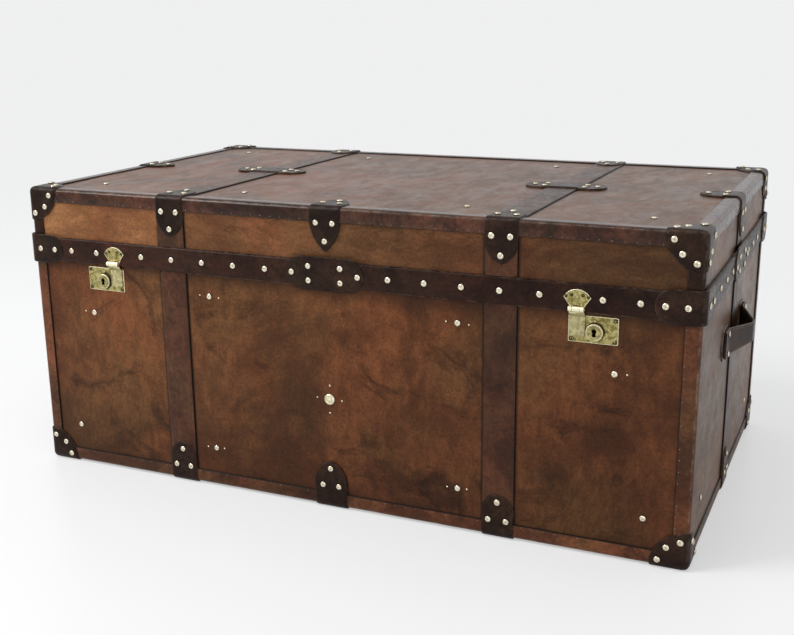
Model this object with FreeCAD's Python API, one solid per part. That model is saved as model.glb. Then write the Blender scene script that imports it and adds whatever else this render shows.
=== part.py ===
# A flat-topped travelling trunk: pine boards covered in hide, bound along every edge,
# with a hinged lid, two hasp locks, two slotted lid stays and a leather handle on each end.
# Millimetres. X runs along the front, the front faces -Y, and +Z is up.
# The origin is the middle of the footprint, on the floor.
import FreeCAD, Part
import math
import os

Vector = FreeCAD.Vector

# Overall sizes, over the edge bindings
trunk_length = 1200.0
trunk_depth = 700.0
trunk_height = 520.0
lid_height = 131.0
lid_gap = 0.3

# Build-up of a wall from its board outwards; each layer holds its own glue line
board_thickness = 12.0
leather_thickness = 2.0
trim_thickness = 2.5
patch_thickness = 2.5
band_thickness = 6.0
lap_thickness = 2.5
glue_line = 0.1
board_corner_radius = 3.5

# Inside of the trunk
lid_lining_thickness = 1.2
valance_clearance = 1.0
valance_thickness = 6.0
valance_depth = 50.0
valance_rise = 12.0

# Leather trim
binding_width = 25.0
strap_width = 54.0
strap_place_share = 0.4975
cap_radius = 60.0
band_height = 43.0
shield_reach = 70.0
shield_straight = 43.0
point_shield_width = 56.0
point_shield_reach = 73.0
point_shield_straight = 22.0
foot_reach = 73.0
foot_straight = 46.0
point_foot_width = 60.0
point_foot_reach = 82.0
point_foot_straight = 45.0
foot_fold = 40.0
patch_arc_facets = 3
cap_arc_facets = 4
bow_length = 146.0
bow_width = 54.0
centre_lap_length = 140.0
centre_lap_height = 57.0
corner_lap_height = 52.0
corner_lap_reach = 68.0
corner_lap_straight = 42.0

# Low-headed nails, faceted, and where they stand
nail_radius = 5.7
nail_height = 3.0
nail_sides = 6
stud_radius = 10.0
stud_height = 4.0
cap_nail_radius = 47.0
cap_nail_angles = (15.0, 45.0, 75.0)
patch_pair_spacing = 30.0
shield_pair_inset = 26.0
shield_tip_inset = 56.0
foot_pair_inset = 29.0
foot_tip_inset = 60.0
bow_tip_spacing = 113.0
bow_pair_spacing = 72.0
bow_pair_gap = 24.0
lap_tip_spacing = 120.0
lap_pair_spacing = 58.0
lap_pair_gap = 24.0
back_nail_count = 8

# Nail places along the band, as shares of the free run between a lap and a hasp or two laps
band_nail_shares = (0.128, 0.317, 0.506, 0.695, 0.887)
outer_nail_shares = (0.185, 0.783)
end_nail_shares = (0.113, 0.4, 0.689)

# Other nail places, as shares of the corner lap's reach, and of half the trunk's length or depth
# across and of the opening's height or half the depth along
centre_stud_share = 0.5013
corner_nail_shares = (0.294, 0.765)
panel_nail_shares = ((0.38, 0.902), (0.382, 0.188), (0.795, 0.766), (0.882, 0.193))
top_nail_shares = ((0.842, 0.72), (0.345, 0.72))
end_panel_nail_shares = ((0.709, 0.206),)

# Hinges on the back
hinge_place_share = 0.7
hinge_length = 60.0
hinge_leaf_height = 36.0
hinge_leaf_thickness = 1.8
hinge_radius = 4.0
hinge_pin_radius = 2.0
hinge_stand = 0.3
knuckle_gap = 0.2
knuckle_notch = 0.8
leaf_notch = 0.4
bore_clearance = 0.05

# Lid stays
stay_radius_share = 0.5
stay_stud_rise = 40.0
stay_arm_width = 16.0
stay_arm_thickness = 2.0
stay_play = 0.3
stay_pin_radius = 3.0
stay_slot_clearance = 0.15
stay_head_radius = 6.0
stay_head_sides = 6
stay_head_thickness = 1.5
lid_opening_angle = 95.0

# Hasps
hasp_place_share = 0.698
hasp_axis_rise = 5.5
hasp_stand = 0.3
hasp_barrel_radius = 4.5
hasp_pin_radius = 1.5
hasp_plate_thickness = 1.2
hasp_plate_width = 42.0
hasp_plate_foot = 4.5
hasp_plate_rise = 25.0
hasp_ear_share = 0.5
hasp_crown_share = 0.68
hasp_crown_width_share = 0.84
hasp_knuckle_gap = 0.3
hasp_strap_width = 24.0
hasp_strap_thickness = 2.2
hasp_strap_drop = 38.0
hasp_strap_corner = 5.0
hasp_seat_gap = 0.3
hasp_upper_gap = 0.6
hasp_step_start = 1.0
hasp_step_drop = 5.0
hasp_middle_share = 0.5
staple_inner_radius = 27.0
staple_outer_radius = 33.0
staple_width = 8.0
staple_reach = 8.0
staple_clearance = 0.4

# Locks
lock_plate_offset = 24.0
lock_plate_drop = 26.0
lock_plate_width = 76.0
lock_plate_height = 42.0
lock_plate_thickness = 1.5
lock_barrel_offset = 3.0
lock_barrel_drop = 3.0
lock_barrel_radius = 13.9
lock_barrel_height = 6.5
lock_plug_radius = 7.5
keyhole_width = 3.2
keyhole_height = 9.0
keyhole_depth = 5.0
lock_case_width = 66.0
lock_case_height = 34.0
lock_case_depth = 10.0
lock_case_clearance = 0.3

# Handles: a stiff leather bow over a pair of pointed chapes
handle_height_share = 0.7455
handle_reach = 31.0
handle_thickness = 5.0
handle_root_width = 46.0
handle_grip_width = 34.0
handle_tab_end = 112.0
handle_bend_place = 80.0
handle_knee_place = 9.0
handle_bend_radius = 12.0
handle_knee_radius = 14.0
chape_inner_end = 70.0
chape_length = 62.0
chape_width = 54.0
chape_point_share = 0.32
handle_nail_place = 96.0
handle_nail_spacing = 34.0

# Cuts run past what they cut by this much
overrun = 20.0

# Offsets of each layer's outer face from the boards
leather_face = leather_thickness
trim_face = leather_face + trim_thickness
patch_face = trim_face + patch_thickness
band_face = leather_face + band_thickness
lap_face = band_face + lap_thickness

# Boards and the opening
opening_height = trunk_height - lid_height
board_x = trunk_length / 2 - trim_face
board_y = trunk_depth / 2 - trim_face
board_top = trunk_height - trim_face
board_bottom = patch_face
inside_x = board_x - board_thickness
inside_y = board_y - board_thickness
inside_top = board_top - board_thickness
floor_top = board_bottom + board_thickness
rim_height = opening_height - lid_gap

# Trim borders
outer_x = trunk_length / 2 + overrun
outer_y = trunk_depth / 2 + overrun
outer_top = trunk_height + overrun
binding_x = trunk_length / 2 - binding_width
binding_y = trunk_depth / 2 - binding_width
lid_binding_foot = trunk_height - binding_width
base_binding_top = patch_thickness + binding_width
band_top = opening_height + band_height
strap_x = strap_place_share * trunk_length / 2
fold_depth = board_corner_radius + lap_face + glue_line

# Hinge line and stays
hinge_x = hinge_place_share * trunk_length / 2
hinge_y = board_y + leather_face + hinge_stand + hinge_radius
stay_radius = stay_radius_share * opening_height

# Hasps and locks, from the opening down
hasp_x = hasp_place_share * trunk_length / 2
hasp_axis_height = opening_height + hasp_axis_rise
hasp_step_top = opening_height - hasp_step_start
hasp_step_bottom = hasp_step_top - hasp_step_drop
hasp_strap_bottom = opening_height - hasp_strap_drop
lock_plate_x = hasp_x + lock_plate_offset
lock_plate_z = opening_height - lock_plate_drop
lock_barrel_x = lock_plate_x + lock_barrel_offset
lock_barrel_z = lock_plate_z - lock_barrel_drop

# Handles
handle_height = handle_height_share * opening_height


def box(x0, x1, y0, y1, z0, z1):
    """A block between two corners."""
    return Part.makeBox(x1 - x0, y1 - y0, z1 - z0, Vector(x0, y0, z0))


def mirror_x(shape):
    """The same shape at the other end of the trunk."""
    return shape.mirror(Vector(0, 0, 0), Vector(1, 0, 0))


def mirror_y(shape):
    """The same shape at the other side, front for back."""
    return shape.mirror(Vector(0, 0, 0), Vector(0, 1, 0))


def mirror_z(shape):
    """The same shape upside down, about the floor."""
    return shape.mirror(Vector(0, 0, 0), Vector(0, 0, 1))


def both_ends(shape):
    """A shape and its copy at the other end."""
    return [shape, mirror_x(shape)]


def four_corners(shape):
    """A shape at the front right and its copies at the other three corners."""
    return both_ends(shape) + both_ends(mirror_y(shape))


def moved(shape, x, y, z):
    """A copy of a shape, shifted."""
    copy = shape.copy()
    copy.translate(Vector(x, y, z))
    return copy


def turned(shape, axis, degrees):
    """A copy of a shape, turned about an axis through the origin."""
    copy = shape.copy()
    copy.rotate(Vector(0, 0, 0), axis, degrees)
    return copy


def cylinder_x(radius, x0, x1, y, z):
    """A round bar along X."""
    return Part.makeCylinder(radius, x1 - x0, Vector(x0, y, z), Vector(1, 0, 0))


def outline(edges):
    """A flat face inside a closed run of curves."""
    return Part.Face(Part.Wire([edge.toShape() for edge in edges]))


def polygon(points):
    """A flat face inside straight sides."""
    return Part.Face(Part.makePolygon(points + points[:1]))


forms = {}


def block(offset):
    """The trunk's outline as a plain block, at an offset from its boards."""
    return box(-board_x - offset, board_x + offset, -board_y - offset, board_y + offset,
               board_bottom - offset, board_top + offset)


def form(offset):
    """The trunk's outer form at an offset from its boards, with every edge rounded."""
    if offset not in forms:
        plain = block(offset)
        forms[offset] = plain.makeFillet(board_corner_radius + offset, plain.Edges)
    return forms[offset]


def chamfered(offset):
    """The same form with flat chamfers that touch the rounded edges."""
    key = ("chamfered", offset)
    if key not in forms:
        plain = block(offset)
        legs = (2 - math.sqrt(2)) * (board_corner_radius + offset)
        forms[key] = plain.makeChamfer(legs, plain.Edges)
    return forms[key]


def layer(region, inner, outer):
    """What lies in a region between two offsets, above the inner one's glue line."""
    return form(outer).common(region).cut(chamfered(inner + glue_line))


def grown(region):
    """A block with a glue line added all round."""
    bounds = region.BoundBox
    bounds.enlarge(glue_line)
    return box(bounds.XMin, bounds.XMax, bounds.YMin, bounds.YMax, bounds.ZMin, bounds.ZMax)


def moulded(region, trims):
    """A leather patch pressed down over the trims below it and onto the hide between them."""
    piece = chamfered(patch_face).common(region).cut(chamfered(leather_face + glue_line))
    for trim in trims:
        if trim.BoundBox.intersect(region.BoundBox):
            piece = piece.cut(chamfered(trim_face + glue_line).common(grown(trim)))
    return piece


def ring_of_walls(x, y, thickness, low, high, gap):
    """Front, back and two end walls whose outer faces stand at x and y."""
    front = box(-x, x, -y, thickness - y, low, high)
    end = box(x - thickness, x, thickness + gap - y, y - thickness - gap, low, high)
    return front, mirror_y(front), end, mirror_x(end)


# Regions of the second layer: edge bindings, corner posts and seam straps

def rail_regions(low, high):
    """The four edge bindings that lie flat, between two heights."""
    front = box(-binding_x, binding_x, -outer_y, -binding_y, low, high)
    end = box(binding_x, outer_x, -binding_y, binding_y, low, high)
    return [front, mirror_y(front), end, mirror_x(end)]


def post_regions(low, high):
    """The four upright corner bindings between two heights."""
    return four_corners(box(binding_x, outer_x, -outer_y, -binding_y, low, high))


def strap_regions(low, high):
    """The upright seam straps: two in front, two behind and one on each end."""
    half = strap_width / 2
    front = box(strap_x - half, strap_x + half, -outer_y, -inside_y, low, high)
    end = box(inside_x, outer_x, -half, half, low, high)
    return four_corners(front) + both_ends(end)


def top_strap_regions():
    """The two seam straps across the top of the lid."""
    half = strap_width / 2
    return both_ends(box(strap_x - half, strap_x + half, -binding_y, binding_y, inside_top, outer_top))


base_rails = rail_regions(-overrun, base_binding_top)
base_posts = post_regions(base_binding_top, rim_height)
base_straps = strap_regions(base_binding_top, rim_height)
base_trims = base_rails + base_posts + base_straps
lid_rails = rail_regions(lid_binding_foot, outer_top)
lid_posts = post_regions(band_top + glue_line, lid_binding_foot)
lid_straps = strap_regions(band_top + glue_line, lid_binding_foot) + top_strap_regions()
lid_trims = lid_rails + lid_posts + lid_straps


def wrapped(regions):
    """The second layer's leather in a list of regions."""
    return [layer(region, leather_face, trim_face) for region in regions]


# Outlines of the patches

def arc_points(centre, radius, start, end, facets):
    """Points along an arc on the XY plane, both ends included; angles in radians."""
    step = (end - start) / facets
    angles = [start + step * n for n in range(facets + 1)]
    return [centre + Vector(math.cos(angle), math.sin(angle), 0) * radius for angle in angles]


def arch(width, straight, reach):
    """A strap end on the XY plane: straight sides up from the X axis, then a two-arc point."""
    half = width / 2
    rise = reach - straight
    centre = (rise ** 2 - half ** 2) / width
    tip_angle = math.atan2(rise, -centre)
    left = arc_points(Vector(centre, straight, 0), centre + half, math.pi, tip_angle, patch_arc_facets)
    right = [Vector(-point.x, point.y, 0) for point in reversed(left[:-1])]
    return polygon([Vector(-half, -overrun, 0)] + left + right + [Vector(half, -overrun, 0)])


def tab(width, reach):
    """A square-ended strap end on the XY plane."""
    half = width / 2
    return polygon([Vector(-half, -overrun, 0), Vector(-half, reach, 0), Vector(half, reach, 0),
                    Vector(half, -overrun, 0)])


def stadium(length, width):
    """A long patch with rounded ends, along X on the XY plane."""
    half = width / 2
    quarter = math.pi / 2
    right = arc_points(Vector(length / 2 - half, 0, 0), half, -quarter, quarter, 2 * patch_arc_facets)
    return polygon(right + [Vector(-point.x, -point.y, 0) for point in right])


def quarter_disc(radius):
    """A quarter disc on the XY plane about the origin, on the -X, +Y side, run past the axes."""
    arc = arc_points(Vector(0, 0, 0), radius, math.pi, math.pi / 2, cap_arc_facets)
    corner = [Vector(overrun, -overrun, 0), Vector(-radius, -overrun, 0)]
    return polygon(corner + arc + [Vector(overrun, radius, 0)])


def folded(front, top):
    """The region of a patch folded over an edge on the X axis, its front at -Y and its top at +Z."""
    upright = turned(front, Vector(1, 0, 0), -90)
    upright = moved(upright, 0, -overrun, 0).extrude(Vector(0, overrun + fold_depth, 0))
    flat = moved(top, 0, 0, -fold_depth).extrude(Vector(0, 0, overrun + fold_depth))
    return upright.fuse(flat)


def on_front_edge(region, x):
    """A folded region set on the front top edge."""
    return moved(region, x, -trunk_depth / 2, trunk_height)


def on_end_edge(region):
    """A folded region set in the middle of the right end's top edge."""
    return moved(turned(region, Vector(0, 0, 1), 90), trunk_length / 2, 0, trunk_height)


def under_edge(region):
    """A region on a top edge, carried down to the bottom edge."""
    return moved(mirror_z(region), 0, 0, trunk_height + patch_thickness)


# Boards and linings

def base_boards():
    """The base's four walls and its floor."""
    front, back, right, left = ring_of_walls(board_x, board_y, board_thickness, board_bottom, rim_height, 0)
    floor = box(-inside_x, inside_x, -inside_y, inside_y, board_bottom, floor_top)
    for pocket in both_ends(lock_pocket()):
        front = front.cut(pocket)
    return front, back, [right, left], floor


def lid_boards():
    """The lid's four walls under its top board."""
    front, back, right, left = ring_of_walls(board_x, board_y, board_thickness, opening_height, inside_top, 0)
    top = box(-board_x, board_x, -board_y, board_y, inside_top, board_top)
    return front, back, [right, left], top


def base_lining():
    """Cloth-faced card inside the base, thick enough to carry the valance clear of the lid."""
    thickness = lid_lining_thickness + valance_clearance
    bottom = floor_top + glue_line
    x = inside_x - glue_line
    y = inside_y - glue_line
    floor = box(-x, x, -y, y, bottom, floor_top + thickness)
    low = floor_top + thickness + glue_line
    walls = ring_of_walls(x, y, thickness - glue_line, low, rim_height, glue_line)
    return [floor] + list(walls)


def base_valance():
    """Strips inside the base that stand up into the lid and keep it in line."""
    inset = lid_lining_thickness + valance_clearance + glue_line
    low = opening_height - valance_depth
    high = opening_height + valance_rise
    return ring_of_walls(inside_x - inset, inside_y - inset, valance_thickness, low, high, glue_line)


def lid_lining():
    """Cloth-faced card inside the lid."""
    thickness = lid_lining_thickness
    x = inside_x - glue_line
    y = inside_y - glue_line
    high = inside_top - glue_line
    ceiling = box(-x, x, -y, y, inside_top - thickness, high)
    walls = ring_of_walls(x, y, thickness - glue_line, opening_height, inside_top - thickness - glue_line,
                          glue_line)
    return [ceiling] + list(walls)


# Hide

def hide_walls(low, high):
    """The hide on the front, back and both ends, which stops short of the rounded edges."""
    x = board_x - board_corner_radius
    y = board_y - board_corner_radius
    front = box(-x, x, -board_y - leather_face, -board_y - glue_line, low, high)
    end = box(board_x + glue_line, board_x + leather_face, -y, y, low, high)
    return front, mirror_y(front), both_ends(end)


def base_hide():
    """The base's hide, open in front for the lock cases, and the cover under its floor."""
    front, back, ends = hide_walls(board_bottom + board_corner_radius, rim_height)
    for pocket in both_ends(lock_pocket()):
        front = front.cut(pocket)
    x = board_x - board_corner_radius
    y = board_y - board_corner_radius
    under = box(-x, x, -y, y, board_bottom - leather_face, board_bottom - glue_line)
    return front, back, ends, under


def lid_hide():
    """The lid's hide."""
    front, back, ends = hide_walls(opening_height, board_top - board_corner_radius)
    x = board_x - board_corner_radius
    y = board_y - board_corner_radius
    top = box(-x, x, -y, y, board_top + glue_line, board_top + leather_face)
    return front, back, ends, top


# Caps, shields, foot patches and bows

def corner_region():
    """A cap's region at the front right top corner, a quarter disc on each of three faces."""
    disc = quarter_disc(cap_radius)
    reach = overrun + fold_depth
    top = moved(disc, 0, 0, -fold_depth).extrude(Vector(0, 0, reach))
    front = moved(turned(disc, Vector(1, 0, 0), -90), 0, -overrun, 0).extrude(Vector(0, reach, 0))
    end = turned(turned(disc, Vector(0, 0, 1), -90), Vector(0, 1, 0), 90)
    end = moved(end, -fold_depth, 0, 0).extrude(Vector(reach, 0, 0))
    return moved(top.fuse([front, end]), trunk_length / 2, -trunk_depth / 2, trunk_height)


def corner_caps(region, trims):
    """The four caps at one level, from the region of the front right one."""
    return [moulded(piece, trims) for piece in four_corners(region)]


def edge_shields():
    """Patches folded over the lid's top edges, on each strap end and mid-front and mid-end."""
    strap_end = arch(strap_width, shield_straight, shield_reach)
    pointed = arch(point_shield_width, point_shield_straight, point_shield_reach)
    over_strap = on_front_edge(folded(strap_end, strap_end), strap_x)
    middle = on_front_edge(folded(pointed, pointed), 0)
    end = on_end_edge(folded(strap_end, strap_end))
    regions = four_corners(over_strap) + [middle] + both_ends(end)
    return [moulded(region, lid_trims) for region in regions]


def foot_patches():
    """Patches folded under the base's bottom edges."""
    strap_end = arch(strap_width, foot_straight, foot_reach)
    pointed = arch(point_foot_width, point_foot_straight, point_foot_reach)
    under_strap = tab(strap_width, foot_fold)
    under_point = tab(point_foot_width, foot_fold)
    at_strap = under_edge(on_front_edge(folded(strap_end, under_strap), strap_x))
    middle = under_edge(on_front_edge(folded(pointed, under_point), 0))
    end = under_edge(on_end_edge(folded(strap_end, under_strap)))
    regions = four_corners(at_strap) + [middle] + both_ends(end)
    return [moulded(region, base_trims) for region in regions]


def bow_patches():
    """Round-ended patches across the straps in the middle of the lid."""
    flat = moved(stadium(bow_length, bow_width), strap_x, 0, inside_top)
    region = flat.extrude(Vector(0, 0, outer_top - inside_top))
    return [moulded(piece, lid_trims) for piece in both_ends(region)]


# Band around the lid's rim

def lid_band():
    """Four mitred battens around the lid's rim, cut out behind for the hinges."""
    x = board_x + band_face
    y = board_y + band_face
    front = polygon([Vector(-x, -y, opening_height), Vector(x, -y, opening_height),
                     Vector(x - overrun, overrun - y, opening_height),
                     Vector(overrun - x, overrun - y, opening_height)])
    end = polygon([Vector(x, -y, opening_height), Vector(x, y, opening_height),
                   Vector(x - overrun, y - overrun, opening_height),
                   Vector(x - overrun, overrun - y, opening_height)])
    rise = Vector(0, 0, band_height)
    front = layer(front.extrude(rise), leather_face, band_face)
    end = layer(end.extrude(rise), leather_face, band_face)
    back = mirror_y(front)
    for x in hinge_places():
        back = back.cut(hinge_recess(x))
    return [front, back] + both_ends(end)


def band_laps():
    """Patches over the band: mid-front, mid-end and wrapped round every corner."""
    middle_height = opening_height + band_height / 2
    flat = turned(stadium(centre_lap_length, centre_lap_height), Vector(1, 0, 0), 90)
    depth = lap_thickness - glue_line
    front = moved(flat, 0, -board_y - band_face - glue_line, middle_height).extrude(Vector(0, -depth, 0))
    end = turned(flat, Vector(0, 0, 1), 90)
    end = moved(end, board_x + band_face + glue_line, 0, middle_height).extrude(Vector(depth, 0, 0))
    side = arch(corner_lap_height, corner_lap_straight, corner_lap_reach)
    upright = turned(folded(side, side), Vector(0, 1, 0), 90)
    upright = moved(upright, trunk_length / 2, -trunk_depth / 2, middle_height)
    corner = chamfered(lap_face).common(upright).cut(chamfered(band_face + glue_line))
    lip = box(-outer_x, outer_x, binding_y, outer_y, 0, opening_height)
    corners = both_ends(corner) + [piece.cut(lip) for piece in both_ends(mirror_y(corner))]
    return [front] + both_ends(end) + corners


# Nails

def head(radius, height):
    """A nail head on the XY plane, a low faceted point."""
    turn = 2 * math.pi / nail_sides
    rim = [Vector(radius * math.cos(turn * n), radius * math.sin(turn * n), 0) for n in range(nail_sides)]
    crown = Vector(0, 0, height)
    faces = [polygon(rim)]
    faces += [polygon([first, second, crown]) for first, second in zip(rim, rim[1:] + rim[:1])]
    return Part.Solid(Part.Shell(faces))


def set_head(shape, place, outward):
    """A nail head on a surface, a glue line above it."""
    copy = shape.copy()
    turn = FreeCAD.Rotation(Vector(0, 0, 1), outward)
    copy.Placement = FreeCAD.Placement(place + outward * glue_line, turn)
    return copy


def front_nails(places, face, shape):
    """Heads on the front at (x, z) places, on the layer whose face is given."""
    return [set_head(shape, Vector(x, -board_y - face, z), Vector(0, -1, 0)) for x, z in places]


def end_nails(places, face, shape):
    """Heads on the right end at (y, z) places."""
    return [set_head(shape, Vector(board_x + face, y, z), Vector(1, 0, 0)) for y, z in places]


def top_nails(places, face, shape):
    """Heads on the top at (x, y) places."""
    return [set_head(shape, Vector(x, y, board_top + face), Vector(0, 0, 1)) for x, y in places]


def copies(shapes, mirror):
    """A list of shapes and their mirror images."""
    return shapes + [mirror(shape) for shape in shapes]


def mirrored(places):
    """Each (across, along) place and its copy across the middle."""
    return [(side * across, along) for across, along in places for side in (1, -1)]


def shared(shares, across, along):
    """Places from their shares of two sizes."""
    return [(across * first, along * second) for first, second in shares]


def pair_and_tip(pair_inset, tip_inset):
    """Nails of a folded patch: a pair near the edge and one at the tip, as (across, inset)."""
    half = patch_pair_spacing / 2
    return [(-half, pair_inset), (half, pair_inset), (0, tip_inset)]


def cap_nail_places():
    """Places of a cap's nails along its two edges, measured from its corner."""
    angles = [math.radians(angle) for angle in cap_nail_angles]
    return [(cap_nail_radius * math.cos(angle), cap_nail_radius * math.sin(angle)) for angle in angles]


def bow_places(tip_spacing, pair_spacing, pair_gap):
    """Six nails of a long patch: one at each tip and two pairs, as (along, across)."""
    along = pair_spacing / 2
    across = pair_gap / 2
    ends = [(-tip_spacing / 2, 0), (tip_spacing / 2, 0)]
    return ends + [(u, v) for u in (-along, along) for v in (-across, across)]


def corner_cap_nails(height, way):
    """Nails on the faces of the four caps at one level; way is -1 down from the top, 1 up."""
    nail = head(nail_radius, nail_height)
    x = trunk_length / 2
    y = trunk_depth / 2
    front = front_nails([(x - a, height + way * b) for a, b in cap_nail_places()], patch_face, nail)
    end = end_nails([(b - y, height + way * a) for a, b in cap_nail_places()], patch_face, nail)
    return copies(copies(front + end, mirror_y), mirror_x)


def lid_edge_nails():
    """Nails in the lid's caps, shields and bows."""
    nail = head(nail_radius, nail_height)
    x = trunk_length / 2
    y = trunk_depth / 2
    spots = pair_and_tip(shield_pair_inset, shield_tip_inset)
    strap_front = front_nails([(strap_x + u, trunk_height - v) for u, v in spots], patch_face, nail)
    strap_top = top_nails([(strap_x + u, v - y) for u, v in spots], patch_face, nail)
    middle = front_nails([(u, trunk_height - v) for u, v in spots], patch_face, nail)
    middle += top_nails([(u, v - y) for u, v in spots], patch_face, nail)
    end = end_nails([(u, trunk_height - v) for u, v in spots], patch_face, nail)
    end += top_nails([(x - v, u) for u, v in spots], patch_face, nail)
    cap_top = top_nails([(x - a, b - y) for a, b in cap_nail_places()], patch_face, nail)
    bows = bow_places(bow_tip_spacing, bow_pair_spacing, bow_pair_gap)
    bow = top_nails([(strap_x + u, v) for u, v in bows], patch_face, nail)
    corners = copies(copies(strap_front + strap_top + cap_top, mirror_y), mirror_x)
    return corner_cap_nails(trunk_height, -1) + corners + middle + copies(end + bow, mirror_x)


def base_edge_nails():
    """Nails in the base's caps and foot patches."""
    nail = head(nail_radius, nail_height)
    spots = pair_and_tip(foot_pair_inset, foot_tip_inset)
    foot = patch_thickness
    strap_front = front_nails([(strap_x + u, foot + v) for u, v in spots], patch_face, nail)
    rise = point_foot_reach - foot_reach
    middle = front_nails([(u, foot + v + rise) for u, v in spots], patch_face, nail)
    end = end_nails([(u, foot + v) for u, v in spots], patch_face, nail)
    return (corner_cap_nails(foot, 1) + copies(copies(strap_front, mirror_y), mirror_x) + middle
            + copies(end, mirror_x))


def along_run(start, end, shares):
    """Places along a free run, from their shares of it."""
    return [start + (end - start) * share for share in shares]


def band_nails():
    """Nails along the band and in its laps."""
    nail = head(nail_radius, nail_height)
    level = opening_height + band_height / 2
    lap_tip = centre_lap_length / 2
    corner_tip = trunk_length / 2 - corner_lap_reach
    hasp_side = hasp_plate_width / 2
    front = along_run(lap_tip, hasp_x - hasp_side, band_nail_shares)
    front += along_run(hasp_x + hasp_side, corner_tip, outer_nail_shares)
    back = [corner_tip * (n + 1 / 2) / back_nail_count for n in range(back_nail_count)]
    end = along_run(lap_tip, trunk_depth / 2 - corner_lap_reach, end_nail_shares)
    heads = front_nails(mirrored([(x, level) for x in front]), band_face, nail)
    heads += [mirror_y(one) for one in front_nails(mirrored([(x, level) for x in back]), band_face, nail)]
    heads += copies(end_nails(mirrored([(y, level) for y in end]), band_face, nail), mirror_x)
    spots = bow_places(lap_tip_spacing, lap_pair_spacing, lap_pair_gap)
    lap = [(u, level + v) for u, v in spots]
    heads += front_nails(lap, lap_face, nail) + copies(end_nails(lap, lap_face, nail), mirror_x)
    insets = [corner_lap_reach * share for share in corner_nail_shares]
    corner = front_nails([(trunk_length / 2 - inset, level) for inset in insets], lap_face, nail)
    corner += end_nails([(inset - trunk_depth / 2, level) for inset in insets], lap_face, nail)
    return heads + copies(copies(corner, mirror_y), mirror_x)


def base_panel_nails():
    """Nails through the base's hide and the big stud in the middle of the front."""
    nail = head(nail_radius, nail_height)
    stud = head(stud_radius, stud_height)
    heads = front_nails([(0, centre_stud_share * opening_height)], leather_face, stud)
    places = mirrored(shared(panel_nail_shares, trunk_length / 2, opening_height))
    end_places = mirrored(shared(end_panel_nail_shares, trunk_depth / 2, opening_height))
    heads += front_nails(places, leather_face, nail)
    return heads + copies(end_nails(end_places, leather_face, nail), mirror_x)


def lid_panel_nails():
    """Nails through the hide on top of the lid."""
    nail = head(nail_radius, nail_height)
    places = mirrored(shared(top_nail_shares, trunk_length / 2, trunk_depth / 2))
    return copies(top_nails(places, leather_face, nail), mirror_y)


# Hinges

def hinge_places():
    """Where the hinges stand along the back."""
    return (-hinge_x, hinge_x)


def hinge_recess(x):
    """Room in the band for a hinge: its barrel and the leaf behind the band."""
    half = hinge_length / 2 + leaf_notch
    barrel = cylinder_x(hinge_radius + knuckle_notch, x - half, x + half, hinge_y, opening_height)
    leaf_back = board_y + leather_face
    pocket = box(x - half, x + half, leaf_back, leaf_back + glue_line + hinge_leaf_thickness + glue_line,
                 opening_height - overrun, opening_height + hinge_leaf_height + leaf_notch)
    return barrel.fuse(pocket)


def hinge_half(x, side, low, high):
    """A leaf between two heights with one solid knuckle, on one side of the hinge's middle."""
    half = hinge_length / 2
    gap = side * knuckle_gap / 2
    back = board_y + leather_face + glue_line
    room = hinge_radius + leaf_notch
    leaf = box(x - half, x + half, back, back + hinge_leaf_thickness, low, high)
    other = sorted((x, x - side * (half + overrun)))
    notch = box(other[0], other[1], board_y, hinge_y, opening_height - room, opening_height + room)
    own = sorted((x + gap, x + side * half))
    return leaf.cut(notch).fuse(cylinder_x(hinge_radius, own[0], own[1], hinge_y, opening_height))


def hinge(x):
    """One hinge: the base's half, bored, and the lid's half with the pin fast in its knuckle."""
    half = hinge_length / 2
    bored = half + overrun
    bore = cylinder_x(hinge_pin_radius + bore_clearance, x - bored, x + bored, hinge_y, opening_height)
    pin = cylinder_x(hinge_pin_radius, x - half, x + half, hinge_y, opening_height)
    low = hinge_half(x, -1, opening_height - hinge_leaf_height, opening_height).cut(bore)
    high = hinge_half(x, 1, opening_height, opening_height + hinge_leaf_height).fuse(pin)
    return low.removeSplitter(), high.removeSplitter()


# Lid stays

def stay_y():
    """How far back the stay's studs stand, so that both lie on one circle about the hinge line."""
    return hinge_y - math.sqrt(stay_radius ** 2 - stay_stud_rise ** 2)


def stay_faces():
    """The X of the valance's inner face, of the arm's outer and inner faces, and of a stud's end."""
    valance = inside_x - lid_lining_thickness - valance_clearance - glue_line - valance_thickness
    arm_outer = valance - glue_line - 2 * stay_play
    arm_inner = arm_outer - stay_arm_thickness
    end = arm_inner - stay_play - stay_head_thickness
    return valance, arm_outer, arm_inner, end


def hex_bar(radius, x0, x1, y, z):
    """A six-sided bar along X, measured over its corners."""
    turn = 2 * math.pi / stay_head_sides
    points = [Vector(x0, y + radius * math.cos(turn * n), z + radius * math.sin(turn * n))
              for n in range(stay_head_sides)]
    return polygon(points).extrude(Vector(x1 - x0, 0, 0))


def stay_stud(wall, height):
    """A bolt from a wall through the arm: a six-sided foot, a round pin and a six-sided head."""
    arm_outer, arm_inner, end = stay_faces()[1:]
    y = stay_y()
    foot = hex_bar(stay_head_radius, arm_outer + stay_play, wall - glue_line, y, height)
    pin = cylinder_x(stay_pin_radius, end, arm_outer + stay_play, y, height)
    cap = hex_bar(stay_head_radius, end, arm_inner - stay_play, y, height)
    return foot.fuse([pin, cap]).removeSplitter()


def stay_chord(angle):
    """The distance between the two studs with the lid open by an angle in degrees."""
    rest = 2 * math.asin(stay_stud_rise / stay_radius)
    return 2 * stay_radius * math.sin((rest + math.radians(angle)) / 2)


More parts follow.
